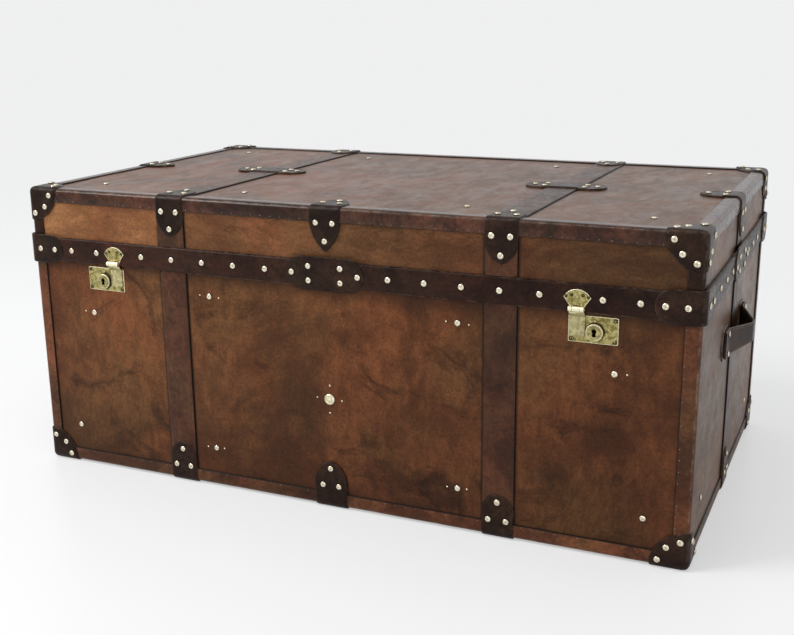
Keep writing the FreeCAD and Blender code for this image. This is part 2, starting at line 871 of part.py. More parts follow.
def stay_arm():
    """A slotted bar that hangs from the lid's stud and slides on the base's stud, on the right."""
    arm_outer, arm_inner = stay_faces()[1:3]
    y = stay_y()
    pivot = opening_height + stay_stud_rise
    half = stay_arm_width / 2
    corner = half / 2
    slot = stay_pin_radius + stay_slot_clearance
    top = pivot + half
    slot_top = pivot - stay_chord(0) + slot
    slot_bottom = pivot - stay_chord(lid_opening_angle) - slot
    bottom = slot_bottom - half
    side = [(-half, bottom + corner), (corner - half, bottom)]
    side += [(half - corner, bottom), (half, bottom + corner)]
    side += [(half, top - corner), (half - corner, top)]
    side += [(corner - half, top), (-half, top - corner)]
    flat = polygon([Vector(arm_inner, y + u, z) for u, z in side])
    arm = flat.extrude(Vector(stay_arm_thickness, 0, 0))
    inner = arm_inner - overrun
    outer = arm_outer + overrun
    hole = cylinder_x(stay_pin_radius + bore_clearance, inner, outer, y, pivot)
    return arm.cut(box(inner, outer, y - slot, y + slot, slot_bottom, slot_top)).cut(hole)


def stay_studs():
    """The base's studs on the valance and the lid's studs on its lining."""
    low = stay_stud(stay_faces()[0], opening_height - stay_stud_rise)
    high = stay_stud(inside_x - lid_lining_thickness, opening_height + stay_stud_rise)
    return both_ends(low), both_ends(high)


# Hasps and locks

def hasp_axis():
    """The Y and Z of the hasp's hinge line."""
    return -board_y - band_face - hasp_stand - hasp_barrel_radius, hasp_axis_height


def hasp_round(radius, half):
    """A round bar on the hasp's hinge line, reaching half its length to each side."""
    return cylinder_x(radius, hasp_x - half, hasp_x + half, *hasp_axis())


def hasp_plate():
    """The fan-shaped plate on the band with two knuckles and their pin, on the right-hand side."""
    y, z = hasp_axis()
    half = hasp_strap_width / 2
    wide = hasp_plate_width / 2
    foot = z + hasp_plate_foot
    ear = foot + hasp_plate_rise * hasp_ear_share
    crown = foot + hasp_plate_rise * hasp_crown_share
    crown_x = wide * hasp_crown_width_share
    back = y + hasp_barrel_radius
    points = [(-crown_x, crown), (-wide, ear), (-half, foot), (-half, z), (half, z), (half, foot),
              (wide, ear), (crown_x, crown)]
    corners = [Vector(hasp_x + u, back, w) for u, w in points]
    edges = [Part.LineSegment(a, b) for a, b in zip(corners[:-1], corners[1:])]
    edges.append(Part.Arc(corners[-1], Vector(hasp_x, back, foot + hasp_plate_rise), corners[0]))
    plate = outline(edges).extrude(Vector(0, -hasp_plate_thickness, 0))
    middle = half * hasp_middle_share
    notch_top = z + hasp_barrel_radius + leaf_notch
    plate = plate.cut(box(hasp_x - middle, hasp_x + middle, y, back, z, notch_top))
    for side in (-1, 1):
        ends = sorted((hasp_x + side * middle, hasp_x + side * half))
        plate = plate.fuse(cylinder_x(hasp_barrel_radius, ends[0], ends[1], y, z))
    return plate.fuse(hasp_round(hasp_pin_radius, half)).removeSplitter()


def staple_ring(clearance):
    """The path of the staple: a ring about the hasp's hinge line, with room on every side."""
    half = staple_width / 2 + clearance
    hollow = hasp_round(staple_inner_radius - clearance, half + overrun)
    return hasp_round(staple_outer_radius + clearance, half).cut(hollow)


def staple_zone(seat, depth):
    """The block that a staple or its slot takes up behind the lock plate's face."""
    z = hasp_axis_height
    return box(hasp_x - overrun, hasp_x + overrun, seat, seat + depth, z - 2 * staple_outer_radius, z)


def hasp_flap():
    """The swinging half of the hasp: knuckle, stepped strap and curved staple."""
    y, z = hasp_axis()
    seat = -board_y - leather_face - lock_plate_thickness - hasp_seat_gap
    upper = -board_y - band_face - hasp_upper_gap
    thick = hasp_strap_thickness
    half = hasp_strap_width / 2
    middle = half * hasp_middle_share - hasp_knuckle_gap
    full_top = z - hasp_barrel_radius - leaf_notch
    drop = thick / 2
    behind = [(upper, z), (upper, hasp_step_top), (seat, hasp_step_bottom), (seat, hasp_strap_bottom)]
    ahead = [(seat - thick, hasp_strap_bottom), (seat - thick, hasp_step_bottom - drop)]
    ahead += [(upper - thick, hasp_step_top - drop), (upper - thick, z)]
    side = polygon([Vector(hasp_x - half, v, w) for v, w in behind + ahead])
    strap = side.extrude(Vector(hasp_strap_width, 0, 0))
    low = [edge for edge in strap.Edges if edge.BoundBox.ZMax < hasp_strap_bottom + glue_line]
    strap = strap.makeFillet(hasp_strap_corner, [edge for edge in low if edge.Length < 2 * thick])
    for way in (-1, 1):
        reach = sorted((hasp_x + way * middle, hasp_x + way * (half + overrun)))
        strap = strap.cut(box(reach[0], reach[1], y - overrun, y + overrun, full_top, z + overrun))
    staple = staple_ring(0).common(staple_zone(seat - drop, drop + staple_reach))
    flap = strap.fuse([hasp_round(hasp_barrel_radius, middle), staple])
    return flap.cut(hasp_round(hasp_pin_radius + bore_clearance, half + overrun)).removeSplitter()


def staple_slot():
    """The slot that the staple swings through, in the lock plate and its case."""
    face = -board_y - leather_face - lock_plate_thickness - overrun
    depth = overrun + lock_plate_thickness + staple_reach
    return staple_ring(staple_clearance).common(staple_zone(face, depth))


def lock_pocket():
    """The opening in hide and board for a lock case."""
    clear = lock_case_clearance
    half_x = lock_case_width / 2 + clear
    half_z = lock_case_height / 2 + clear
    depth = lock_case_depth + clear - leather_face
    return box(lock_plate_x - half_x, lock_plate_x + half_x, -board_y - overrun, depth - board_y,
               lock_plate_z - half_z, lock_plate_z + half_z)


def lock_round(radius, y0, y1):
    """A round bar on the lock barrel's axis."""
    return Part.makeCylinder(radius, y1 - y0, Vector(lock_barrel_x, y0, lock_barrel_z), Vector(0, 1, 0))


def lock_plate():
    """The brass plate on the hide with its round barrel, the staple's slot and the plug's bore."""
    back = -board_y - leather_face - glue_line
    face = -board_y - leather_face - lock_plate_thickness
    half_x = lock_plate_width / 2
    half_z = lock_plate_height / 2
    plate = box(lock_plate_x - half_x, lock_plate_x + half_x, face, back,
                lock_plate_z - half_z, lock_plate_z + half_z)
    barrel = lock_round(lock_barrel_radius, face - lock_barrel_height, face)
    bore = lock_round(lock_plug_radius + bore_clearance, face - overrun, back + overrun)
    return plate.fuse(barrel).cut(bore).cut(staple_slot()).removeSplitter()


def lock_case():
    """The lock's works, a closed case behind its plate."""
    y = -board_y - leather_face
    half_x = lock_case_width / 2
    half_z = lock_case_height / 2
    case = box(lock_plate_x - half_x, lock_plate_x + half_x, y, y + lock_case_depth,
               lock_plate_z - half_z, lock_plate_z + half_z)
    return case.cut(staple_slot())


def lock_plug():
    """The turning plug with its keyhole, flush with the barrel and standing on the case."""
    front = -board_y - leather_face - lock_plate_thickness - lock_barrel_height
    plug = lock_round(lock_plug_radius, front, -board_y - leather_face - glue_line)
    hole = turned(stadium(keyhole_height, keyhole_width), Vector(0, 1, 0), 90)
    hole = moved(turned(hole, Vector(0, 0, 1), 90), lock_barrel_x, front - overrun, lock_barrel_z)
    return plug.cut(hole.extrude(Vector(0, overrun + keyhole_depth, 0)))


# Handles

def rounded_path(points, radii):
    """Lines through points on the XY plane, with an arc of the given radius at each inner point."""
    edges = []
    start = points[0]
    for before, corner, after, radius in zip(points, points[1:], points[2:], radii):
        back = (before - corner).normalize()
        ahead = (after - corner).normalize()
        half_angle = back.getAngle(ahead) / 2
        trim = radius / math.tan(half_angle)
        middle = (back + ahead).normalize()
        first = corner + back * trim
        last = corner + ahead * trim
        bulge = corner + middle * (radius / math.sin(half_angle) - radius)
        edges.append(Part.LineSegment(start, first))
        edges.append(Part.Arc(first, bulge, last))
        start = last
    edges.append(Part.LineSegment(start, points[-1]))
    return edges


def handle_side(depth):
    """One face of the bent strap as points on the XY plane, from one tab end to the other."""
    root = board_x + leather_face + trim_thickness + glue_line
    low = root + handle_thickness / 2
    high = trunk_length / 2 + handle_reach
    slope = math.atan2(high - low, handle_bend_place - handle_knee_place)
    bend = depth * math.tan(slope / 2)
    near = [Vector(low + depth, -handle_tab_end, 0), Vector(low + depth, -handle_bend_place - bend, 0),
            Vector(high + depth, -handle_knee_place - bend, 0)]
    return near + [Vector(point.x, -point.y, 0) for point in reversed(near)]


def handle():
    """The right-hand bow: a thick strap bent out from two flat tabs, narrower at the grip."""
    half = handle_thickness / 2
    bend = handle_bend_radius
    knee = handle_knee_radius
    outside = rounded_path(handle_side(half), (bend - half, knee + half, knee + half, bend - half))
    inside = rounded_path(handle_side(-half), (bend + half, knee - half, knee - half, bend + half))
    first = Part.LineSegment(inside[0].StartPoint, outside[0].StartPoint)
    last = Part.LineSegment(outside[-1].EndPoint, inside[-1].EndPoint)
    edges = Part.__sortEdges__([edge.toShape() for edge in outside + inside + [first, last]])
    wide = handle_root_width / 2
    narrow = handle_grip_width / 2
    strap = moved(Part.Face(Part.Wire(edges)), 0, 0, handle_height - wide)
    strap = strap.extrude(Vector(0, 0, handle_root_width))
    x = inside_x
    end = handle_tab_end + overrun
    root = handle_bend_place
    waist = handle_knee_place
    lower = [(-end, wide), (-root, wide), (-waist, narrow), (waist, narrow), (root, wide), (end, wide)]
    corners = [Vector(x, y, handle_height - drop) for y, drop in lower]
    corners += [Vector(x, end, handle_height + wide), Vector(x, -end, handle_height + wide)]
    shape = polygon(corners)
    return strap.common(shape.extrude(Vector(outer_x + handle_reach - x, 0, 0)))


def handle_chapes():
    """Pointed leather tabs under the handle's feet, two on the right-hand end."""
    half = chape_width / 2
    far = chape_inner_end + chape_length
    shoulder = far - chape_length * chape_point_share
    x = board_x + leather_face + glue_line
    square = [(chape_inner_end, -half), (chape_inner_end, half)]
    point = [(shoulder, half), (far, 0), (shoulder, -half)]
    flat = polygon([Vector(x, y, handle_height + z) for y, z in square + point])
    chape = flat.extrude(Vector(trim_thickness - glue_line, 0, 0))
    return [chape, mirror_y(chape)]


def handle_nails():
    """Nails through the handle's feet."""
    nail = head(nail_radius, nail_height)
    half = handle_nail_spacing / 2
    places = mirrored([(handle_nail_place, handle_height + side * half) for side in (1, -1)])
    face = trim_face + handle_thickness + glue_line
    return copies(end_nails(places, face, nail), mirror_x)


# Every node and its solids

def save(name, pieces):
    """Write one node: its solids, side by side."""
    solids = [solid for piece in pieces for solid in piece.Solids]
    shape = solids[0] if len(solids) == 1 else Part.makeCompound(solids)
    shape.exportStep("parts/" + name + ".step")


def build():
    """Make every piece and write it."""
    front_board, back_board, end_boards, floor_board = base_boards()
    save("base_front_board", [front_board])
    save("base_back_board", [back_board])
    save("base_end_boards", end_boards)
    save("base_floor_board", [floor_board])
    save("base_lining", base_lining())
    save("base_valance", base_valance())
    front_hide, back_hide, end_hides, under_cover = base_hide()
    save("base_front_leather", [front_hide])
    save("base_back_leather", [back_hide])
    save("base_end_leathers", end_hides)
    save("base_underside_cover", [under_cover])
    save("base_bottom_bindings", wrapped(base_rails))
    save("base_corner_bindings", wrapped(base_posts))
    save("base_seam_straps", wrapped(base_straps))
    save("base_corner_caps", corner_caps(under_edge(corner_region()), base_trims))
    save("base_foot_patches", foot_patches())
    save("base_edge_nails", base_edge_nails())
    save("base_panel_nails", base_panel_nails())

    bow = handle()
    save("handle_right", [bow])
    save("handle_left", [mirror_x(bow)])
    save("handle_chapes", copies(handle_chapes(), mirror_x))
    save("handle_nails", handle_nails())

    front_board, back_board, end_boards, top_board = lid_boards()
    save("lid_front_board", [front_board])
    save("lid_back_board", [back_board])
    save("lid_end_boards", end_boards)
    save("lid_top_board", [top_board])
    save("lid_lining", lid_lining())
    front_hide, back_hide, end_hides, top_hide = lid_hide()
    save("lid_front_leather", [front_hide])
    save("lid_back_leather", [back_hide])
    save("lid_end_leathers", end_hides)
    save("lid_top_leather", [top_hide])
    save("lid_top_bindings", wrapped(lid_rails))
    save("lid_corner_bindings", wrapped(lid_posts))
    save("lid_seam_straps", wrapped(lid_straps))
    save("lid_corner_caps", corner_caps(corner_region(), lid_trims))
    save("lid_edge_shields", edge_shields())
    save("lid_bow_patches", bow_patches())
    save("lid_edge_nails", lid_edge_nails())
    save("lid_panel_nails", lid_panel_nails())
    save("lid_band", lid_band())
    save("lid_band_laps", band_laps())
    save("band_nails", band_nails())

    hinges = [hinge(x) for x in hinge_places()]
    save("hinge_base_leaves", [low for low, high in hinges])
    save("hinge_lid_leaves", [high for low, high in hinges])

    base_studs, lid_studs = stay_studs()
    save("stay_base_studs", base_studs)
    save("stay_lid_studs", lid_studs)
    arm = stay_arm()
    save("stay_arm_right", [arm])
    save("stay_arm_left", [mirror_x(arm)])

    save("hasp_plates", both_ends(hasp_plate()))
    flap = hasp_flap()
    save("hasp_flap_right", [flap])
    save("hasp_flap_left", [mirror_x(flap)])
    save("lock_plates", both_ends(lock_plate()))
    save("lock_cases", both_ends(lock_case()))
    plug = lock_plug()
    save("lock_plug_right", [plug])
    save("lock_plug_left", [mirror_x(plug)])


os.makedirs("parts", exist_ok=True)
build()
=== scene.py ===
# %% [markdown]
# # A leather travelling trunk
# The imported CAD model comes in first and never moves: it holds every size, joint and mount.
# What follows dresses it. Leather is laid over the boards as thin rolled sheets, nails are
# scattered by Geometry Nodes, and each finish is a node material that reads object coordinates.

# %% Load the frame
import math

import bmesh
import bpy
import numpy as np
from mathutils import Matrix, Vector, noise
from mathutils.bvhtree import BVHTree
from mathutils.geometry import delaunay_2d_cdt


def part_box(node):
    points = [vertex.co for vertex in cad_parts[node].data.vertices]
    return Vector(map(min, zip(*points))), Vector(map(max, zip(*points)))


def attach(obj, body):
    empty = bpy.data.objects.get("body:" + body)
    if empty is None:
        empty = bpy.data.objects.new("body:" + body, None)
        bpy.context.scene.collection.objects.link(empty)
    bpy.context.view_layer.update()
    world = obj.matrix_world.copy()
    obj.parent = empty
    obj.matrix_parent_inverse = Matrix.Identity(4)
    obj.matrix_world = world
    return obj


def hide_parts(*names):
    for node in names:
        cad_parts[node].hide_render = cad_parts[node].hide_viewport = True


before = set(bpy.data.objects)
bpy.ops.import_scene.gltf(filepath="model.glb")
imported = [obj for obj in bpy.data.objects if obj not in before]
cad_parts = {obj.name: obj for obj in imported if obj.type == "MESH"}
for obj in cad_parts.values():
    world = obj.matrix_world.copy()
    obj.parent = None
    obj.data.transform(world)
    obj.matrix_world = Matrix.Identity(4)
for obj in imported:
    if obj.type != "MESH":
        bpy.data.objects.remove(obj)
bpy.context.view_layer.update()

mm = 0.001

# %% [markdown]
# ## Camera
# The camera was fitted to the trunk's straight edges. Its heading, tilt and roll are three
# angles, and its axes follow from them: forward, right and up. Blender's camera looks along its
# own -Z, so the matrix's columns are right, up and minus forward.

# %% Camera
heading, tilt, roll_angle = -0.42257, 0.2648, -0.01035
eye = (0.83365, -1.92358, 0.81799)
focal_pixels, photo_width, sensor_width = 1124.37, 794, 36
forward = Vector((math.sin(heading) * math.cos(tilt), math.cos(heading) * math.cos(tilt),
                  -math.sin(tilt)))
level = Vector((math.cos(heading), -math.sin(heading), 0))
upright = level.cross(forward)
right = level * math.cos(roll_angle) + upright * math.sin(roll_angle)
up = upright * math.cos(roll_angle) - level * math.sin(roll_angle)


def placed(name, data):
    """A new object of the scene, at the origin."""
    made = bpy.data.objects.new(name, data)
    bpy.context.scene.collection.objects.link(made)
    return made


camera_data = bpy.data.cameras.new("camera")
camera_data.sensor_width = sensor_width
camera_data.lens = focal_pixels * sensor_width / photo_width
camera = placed("camera", camera_data)
stand = Matrix((right, up, -forward)).transposed().to_4x4()
stand.translation = Vector(eye)
camera.matrix_world = stand
bpy.context.scene.camera = camera
print("lens", round(camera_data.lens, 2), "mm")

# %% [markdown]
# ## Node helpers
# Shader and geometry trees are wired by the same short helpers. The first adds a node, sets its
# properties, and either links or sets each named input; the others name the usual nodes.


# %% Node helpers
def add(tree, kind, inputs=None, **settings):
    """Add a node; inputs are linked if they are sockets and set if they are values."""
    node = tree.nodes.new(kind)
    for key, value in settings.items():
        setattr(node, key, value)
    for key, value in (inputs or {}).items():
        if isinstance(value, bpy.types.NodeSocket):
            tree.links.new(value, node.inputs[key])
        else:
            node.inputs[key].default_value = value
    return node


socket_kinds = {float: "NodeSocketFloat", int: "NodeSocketInt", tuple: "NodeSocketVector"}


def group(kind, name, inputs, *outputs):
    """A node group, as its tree, given sockets and result sockets. Inputs are labels with defaults;
    Geometry and Material have none. Outputs are numbers, except Geometry."""
    tree = bpy.data.node_groups.new(name, kind)
    for label, default in inputs.items():
        socket = "NodeSocket" + label if default is None else socket_kinds[type(default)]
        made = tree.interface.new_socket(label, in_out="INPUT", socket_type=socket)
        if default is not None:
            made.default_value = default
    for label in outputs:
        socket = "NodeSocketGeometry" if label == "Geometry" else "NodeSocketFloat"
        tree.interface.new_socket(label, in_out="OUTPUT", socket_type=socket)
    return tree, tree.nodes.new("NodeGroupInput").outputs, tree.nodes.new("NodeGroupOutput").inputs


def send(tree, result, **sockets):
    """Link sockets to a group's results of those names."""
    for label, socket in sockets.items():
        tree.links.new(socket, result[label])
    return tree


def maths(tree, operation, *values, clamp=False):
    """A Math node on two or three values or sockets."""
    made = add(tree, "ShaderNodeMath", dict(enumerate(values)), operation=operation, use_clamp=clamp)
    return made.outputs[0]


def product(tree, first, second):
    """Two numbers multiplied."""
    return maths(tree, "MULTIPLY", first, second)


def span(tree, value, low, high, to_low=0.0, to_high=1.0):
    """A value's place between low and high, smoothly, between two results."""
    made = add(tree, "ShaderNodeMapRange", {0: value, 1: low, 2: high, 3: to_low, 4: to_high},
               interpolation_type="SMOOTHSTEP")
    return made.outputs[0]


def vectors(tree, operation, first, second):
    """A Vector Math node on two vectors."""
    return add(tree, "ShaderNodeVectorMath", {0: first, 1: second}, operation=operation).outputs[0]


def scaled(tree, vector, factor):
    """A vector times a number."""
    made = add(tree, "ShaderNodeVectorMath", {0: vector, "Scale": factor}, operation="SCALE")
    return made.outputs[0]


def triple(tree, x, y=None, z=None):
    """A vector of three numbers, or of one number three times."""
    parts = {0: x, 1: x if y is None else y, 2: x if z is None else z}
    return add(tree, "ShaderNodeCombineXYZ", parts).outputs[0]


def mix(tree, share, first, second, **settings):
    """A colour between two colours."""
    made = add(tree, "ShaderNodeMix", {0: share, 6: first, 7: second}, data_type="RGBA", **settings)
    return made.outputs[2]


def tinted(tree, colour, tint):
    """A colour multiplied by another."""
    return mix(tree, 1.0, colour, tint, blend_type="MULTIPLY")


def here(tree):
    """Object coordinates, which are the trunk's own metres."""
    return add(tree, "ShaderNodeTexCoord").outputs["Object"]


def noisy(tree, place, scale, detail, roughness=0.5, distortion=0.0):
    """The value of a noise texture at a place."""
    made = add(tree, "ShaderNodeTexNoise", {"Vector": place, "Scale": scale, "Detail": detail,
                                            "Roughness": roughness, "Distortion": distortion})
    return made.outputs[0]


def attribute(tree, name):
    """A number that the mesh's points carry."""
    return add(tree, "ShaderNodeAttribute", attribute_name=name).outputs["Fac"]


def effect(tree, shared, **values):
    """The results of a shared effect, with some of its inputs set."""
    node = add(tree, "ShaderNodeGroup", node_tree=shared)
    for label, value in values.items():
        node.inputs[label].default_value = value
    return node.outputs


def new_material(name):
    """A material, its tree and the inputs of its Principled shader."""
    material = bpy.data.materials.new(name)
    material.use_nodes = True
    return material, material.node_tree, material.node_tree.nodes["Principled BSDF"].inputs


def surface(tree, inputs, colour, rough, height, strength, distance):
    """Link a colour, a roughness and a relief to a shader's inputs."""
    relief = add(tree, "ShaderNodeBump", {"Height": height, "Strength": strength, "Distance": distance})
    for label, socket in (("Base Color", colour), ("Roughness", rough), ("Normal", relief.outputs[0])):
        tree.links.new(socket, inputs[label])


# %% [markdown]
# ## Effects that several finishes share
# Hand-dyed hide is uneven: broad clouds of lighter and darker brown, rubbed sideways, with fine
# flecks in them. One group makes both. A second makes the pebbled grain, a third finds the rims
# and folds of a piece from the attributes that the sheets carry, and a fourth draws thin scuffs.


# %% Rubbed dye
def rubbed_dye():
    """Broad and fine unevenness of a hand-rubbed dye, stretched along the panel."""
    tree, given, result = group("ShaderNodeTree", "rubbed_dye",
                                {"Scale": 4.0, "Stretch": (1, 1, 2), "Streak": (3, 3, 26),
                                 "Shift": (0, 0, 0)}, "Broad", "Fine", "Hue", "Stain", "Speck")
    place, scale = here(tree), given["Scale"]
    moved = vectors(tree, "ADD", place, given["Shift"])
    spread = vectors(tree, "MULTIPLY", moved, given["Stretch"])
    drawn = vectors(tree, "MULTIPLY", moved, given["Streak"])
    flat = vectors(tree, "MULTIPLY", spread, (1.7, 1.7, 2.2))
    return send(tree, result,
                Broad=span(tree, noisy(tree, spread, scale, 12.0, 0.7, 0.5), 0.33, 0.67),
                Fine=span(tree, noisy(tree, drawn, scale, 8.0, 0.72, 0.5), 0.3, 0.7),
                Hue=span(tree, noisy(tree, moved, product(tree, scale, 0.7), 8.0, 0.65, 1.0), 0.4, 0.62),
                Stain=span(tree, noisy(tree, flat, scale, 12.0, 0.72, 1.4), 0.51, 0.67),
                Speck=span(tree, noisy(tree, place, 210.0, 3.0, 0.7), 0.3, 0.7))


dye = rubbed_dye()


# %% Grain
def leather_grain():
    """Height of pebbled grain with shallow creases, from 0 to 1."""
    tree, given, result = group("ShaderNodeTree", "leather_grain", {"Scale": 900.0}, "Height")
    place, scale = here(tree), given["Scale"]
    pebbles = add(tree, "ShaderNodeTexVoronoi", {"Vector": place, "Scale": scale}, feature="SMOOTH_F1")
    creases = noisy(tree, place, product(tree, scale, 0.06), 5.0, 0.6, 1.2)
    return send(tree, result, Height=maths(tree, "MULTIPLY_ADD", pebbles.outputs["Distance"], 0.25, creases))


grain = leather_grain()


# %% Worn rims and folds
def worn_rims():
    """Where a sheet is rubbed: near its rim and over its folds, broken up by noise."""
    tree, given, result = group("ShaderNodeTree", "worn_rims", {"Rim width": 0.002, "Break-up": 60.0},
                                "Rim", "Fold")
    inside = maths(tree, "DIVIDE", attribute(tree, "rim"), given["Rim width"])
    near = maths(tree, "SUBTRACT", 1.0, inside, clamp=True)
    broken = span(tree, noisy(tree, here(tree), given["Break-up"], 5.0, 0.65), 0.42, 0.62)
    bent = span(tree, attribute(tree, "fold"), 0.05, 0.3)
    return send(tree, result, Rim=product(tree, near, broken), Fold=product(tree, bent, broken))


wear = worn_rims()


# %% Scuffs
def thin_scuffs():
    """Thin pale scratches in two directions, as a mask."""
    tree, given, result = group("ShaderNodeTree", "thin_scuffs", {"Scale": 30.0}, "Mask")
    masks = []
    for turn, squeeze in (((0.2, 0.1, 0.3), (1, 1, 7)), ((1.1, 0.3, 0.2), (5, 1, 1))):
        mapped = add(tree, "ShaderNodeMapping", {"Vector": here(tree), "Rotation": turn, "Scale": squeeze})
        masks.append(span(tree, noisy(tree, mapped.outputs[0], given["Scale"], 5.0, 0.6), 0.69, 0.76))
    return send(tree, result, Mask=maths(tree, "MAXIMUM", *masks))


scuffs = thin_scuffs()
print("shared effects", [tree.name for tree in (dye, grain, wear, scuffs)])

# %% [markdown]
# ## Leather finishes
# One recipe serves every leather: three tones mixed by the dye's clouds, a darker rim where a panel
# meets its trim, which is dirt and painted shade, a painted shadow along the straps, tones along the
# trunk that are partly painted light, pale wear on rims and folds, and roughness that follows both.
# The recipe takes its colours as written, so each leather is one call.

# %% Leather recipe
worn_tone, edge_tone = (0.30, 0.22, 0.16), (0.006, 0.004, 0.003, 1)
warm_tint, cool_tint = (1.07, 0.94, 0.91, 1), (0.94, 1.03, 0.97, 1)
fade_reach, fade_foot, fade_top, fade_scale = 0.6, 0.08, 0.36, 3.0
scuff_share, grain_depth = 0.12, 0.4 * mm


def leather(name, dark, middle, light, scale=4.0, stretch=(1, 1, 1), streak=(8, 8, 8), shift=(0, 0, 0),
            grime_and_shade=0.0, seam=None, fade=None, low_tone=1.0, edge=0.0, stain=0.6, rough=0.4, gloss=0.12,
            mask_tone=worn_tone, wear_share=0.5, bump=0.25):
    """A leather material. Colours are linear RGB, grime and edge are widths of dark rims in metres,
    the grime rim being dirt and painted shade where a panel meets its trim, seam is (axis, place, half
    width) of the straps along which a shadow and dirt are painted, fade is the tones along the trunk,
    partly painted light, and low_tone the share of them left near the foot."""
    material, tree, inputs = new_material(name)
    inputs["Specular IOR Level"].default_value = gloss
    clouds = effect(tree, dye, Scale=scale, Stretch=stretch, Streak=streak, Shift=shift)
    place = add(tree, "ShaderNodeSeparateXYZ", {0: here(tree)}).outputs
    rim = attribute(tree, "rim")

    def soiled_and_shaded(colour, mask, strength, share):
        """The colour with a share of the dark tone where the mask says."""
        return mix(tree, product(tree, mask, strength), colour, (*(share * c for c in dark), 1))

    colour = mix(tree, clouds["Broad"], (*dark, 1), (*middle, 1))
    lift = product(tree, clouds["Fine"], span(tree, clouds["Broad"], 0.2, 1.0, 0.1, 0.75))
    colour = mix(tree, lift, colour, (*light, 1))
    colour = mix(tree, clouds["Hue"], tinted(tree, colour, cool_tint), tinted(tree, colour, warm_tint))
    colour = soiled_and_shaded(colour, clouds["Stain"], stain, 0.5)
    colour = tinted(tree, colour, triple(tree, span(tree, clouds["Speck"], 0.0, 1.0, 0.84, 1.16)))
    # Painted light, in part: the fade ramps run along X and mostly make a leather lighter towards the left
    # end, where the key lamp stands, and darker to the right; the rest is uneven dye. Below fade_top the
    # tones also darken towards the foot, down to low_tone at fade_foot.
    if fade:
        along = add(tree, "ShaderNodeMapRange", {0: place[0], 1: -fade_reach, 2: fade_reach}).outputs[0]
        ramp = add(tree, "ShaderNodeValToRGB", {0: along})
        ramp.color_ramp.interpolation = "EASE"
        stops = ramp.color_ramp.elements
        while len(stops) < len(fade):
            stops.new(0.5)
        for stop, (at, tone) in zip(stops, fade):
            stop.position = at
            stop.color = (tone / fade_scale, tone / fade_scale, tone / fade_scale, 1)
        up_share = span(tree, place[2], fade_foot, fade_top, fade_scale * low_tone, fade_scale)
        colour = tinted(tree, colour, triple(tree, product(tree, ramp.outputs[0], up_share)))
    # Dirt and painted shade: the hide darkens inwards from its rim, where it meets the raised trim.
    if grime_and_shade:
        colour = soiled_and_shaded(colour, span(tree, rim, grime_and_shade, 0.0), 0.6, 0.4)
    # Painted shadow and dirt: a dark band on the hide along both sides of each strap, fading out 5 mm from
    # the strap's edge.
    if seam:
        axis, at, half = seam
        off = maths(tree, "ABSOLUTE", maths(tree, "SUBTRACT", maths(tree, "ABSOLUTE", place[axis]), at))
        colour = soiled_and_shaded(colour, span(tree, maths(tree, "SUBTRACT", off, half), 5 * mm, 0.5 * mm), 0.75, 0.25)
    rubbed = effect(tree, wear)
    touched = product(tree, maths(tree, "MAXIMUM", rubbed["Fold"], rubbed["Rim"]), wear_share)
    scratched = product(tree, effect(tree, scuffs)["Mask"], scuff_share)
    colour = mix(tree, maths(tree, "MAXIMUM", touched, scratched), colour, (*mask_tone, 1))
    if edge:
        colour = mix(tree, span(tree, rim, edge, 0.4 * edge), colour, edge_tone)
    uneven = maths(tree, "MULTIPLY_ADD", clouds["Fine"], 0.16, rough - 0.08)
    surface(tree, inputs, colour, uneven, effect(tree, grain)["Height"], bump, grain_depth)
    return material


strap_places = (0, 298.5 * mm, 27 * mm)
hide_front = leather("hide_front", (0.054, 0.020, 0.008), (0.116, 0.043, 0.016), (0.225, 0.088, 0.033),
                     streak=(13, 13, 7), grime_and_shade=30 * mm, seam=strap_places, stain=0.75,
                     fade=((0.0, 1.16), (0.4, 1.02), (0.65, 0.86), (1.0, 0.74)), low_tone=0.72)
hide_lid = leather("hide_lid", (0.070, 0.027, 0.011), (0.120, 0.048, 0.020), (0.215, 0.090, 0.038),
                   stretch=(1, 1, 2), streak=(6, 6, 18), shift=(3, 1, 7), grime_and_shade=20 * mm, seam=strap_places,
                   fade=((0.0, 2.4), (0.14, 2.1), (0.36, 1.2), (0.62, 0.86), (1.0, 0.6)))
hide_top = leather("hide_top", (0.070, 0.030, 0.015), (0.136, 0.056, 0.027), (0.170, 0.070, 0.034),
                   stretch=(1.3, 1, 1), streak=(8, 4, 5), shift=(5, 2, 1), grime_and_shade=24 * mm, seam=strap_places,
                   stain=0.5, rough=0.38, gloss=0.29)
hide_end = leather("hide_end", (0.070, 0.032, 0.016), (0.130, 0.060, 0.030), (0.180, 0.086, 0.044),
                   stretch=(1, 1, 1.2), streak=(5, 5, 8), shift=(2, 6, 3), grime_and_shade=24 * mm,
                   seam=(1, 0.0, 27 * mm), rough=0.36, gloss=0.2)
strap_leather = leather("strap_leather", (0.036, 0.014, 0.008), (0.078, 0.030, 0.015),
                        (0.130, 0.053, 0.026), scale=8.0, streak=(14, 6, 3), shift=(1, 9, 2), edge=2.0 * mm,
                        rough=0.34, gloss=0.14, fade=((0.0, 1.2), (0.5, 0.95), (1.0, 0.68)))
binding_leather = leather("binding_leather", (0.014, 0.006, 0.004), (0.056, 0.021, 0.012),
                          (0.130, 0.050, 0.028), scale=9.0, shift=(7, 3, 2), edge=1.0 * mm, rough=0.2,
                          gloss=0.19, wear_share=0.3)
rail_leather = leather("rail_leather", (0.040, 0.014, 0.007), (0.085, 0.032, 0.015), (0.170, 0.066, 0.028),
                       scale=7.0, streak=(7, 7, 7), shift=(2, 8, 5), edge=2.0 * mm, rough=0.34, gloss=0.14,
                       fade=((0.0, 1.25), (0.45, 0.9), (0.8, 1.35), (1.0, 1.0)))
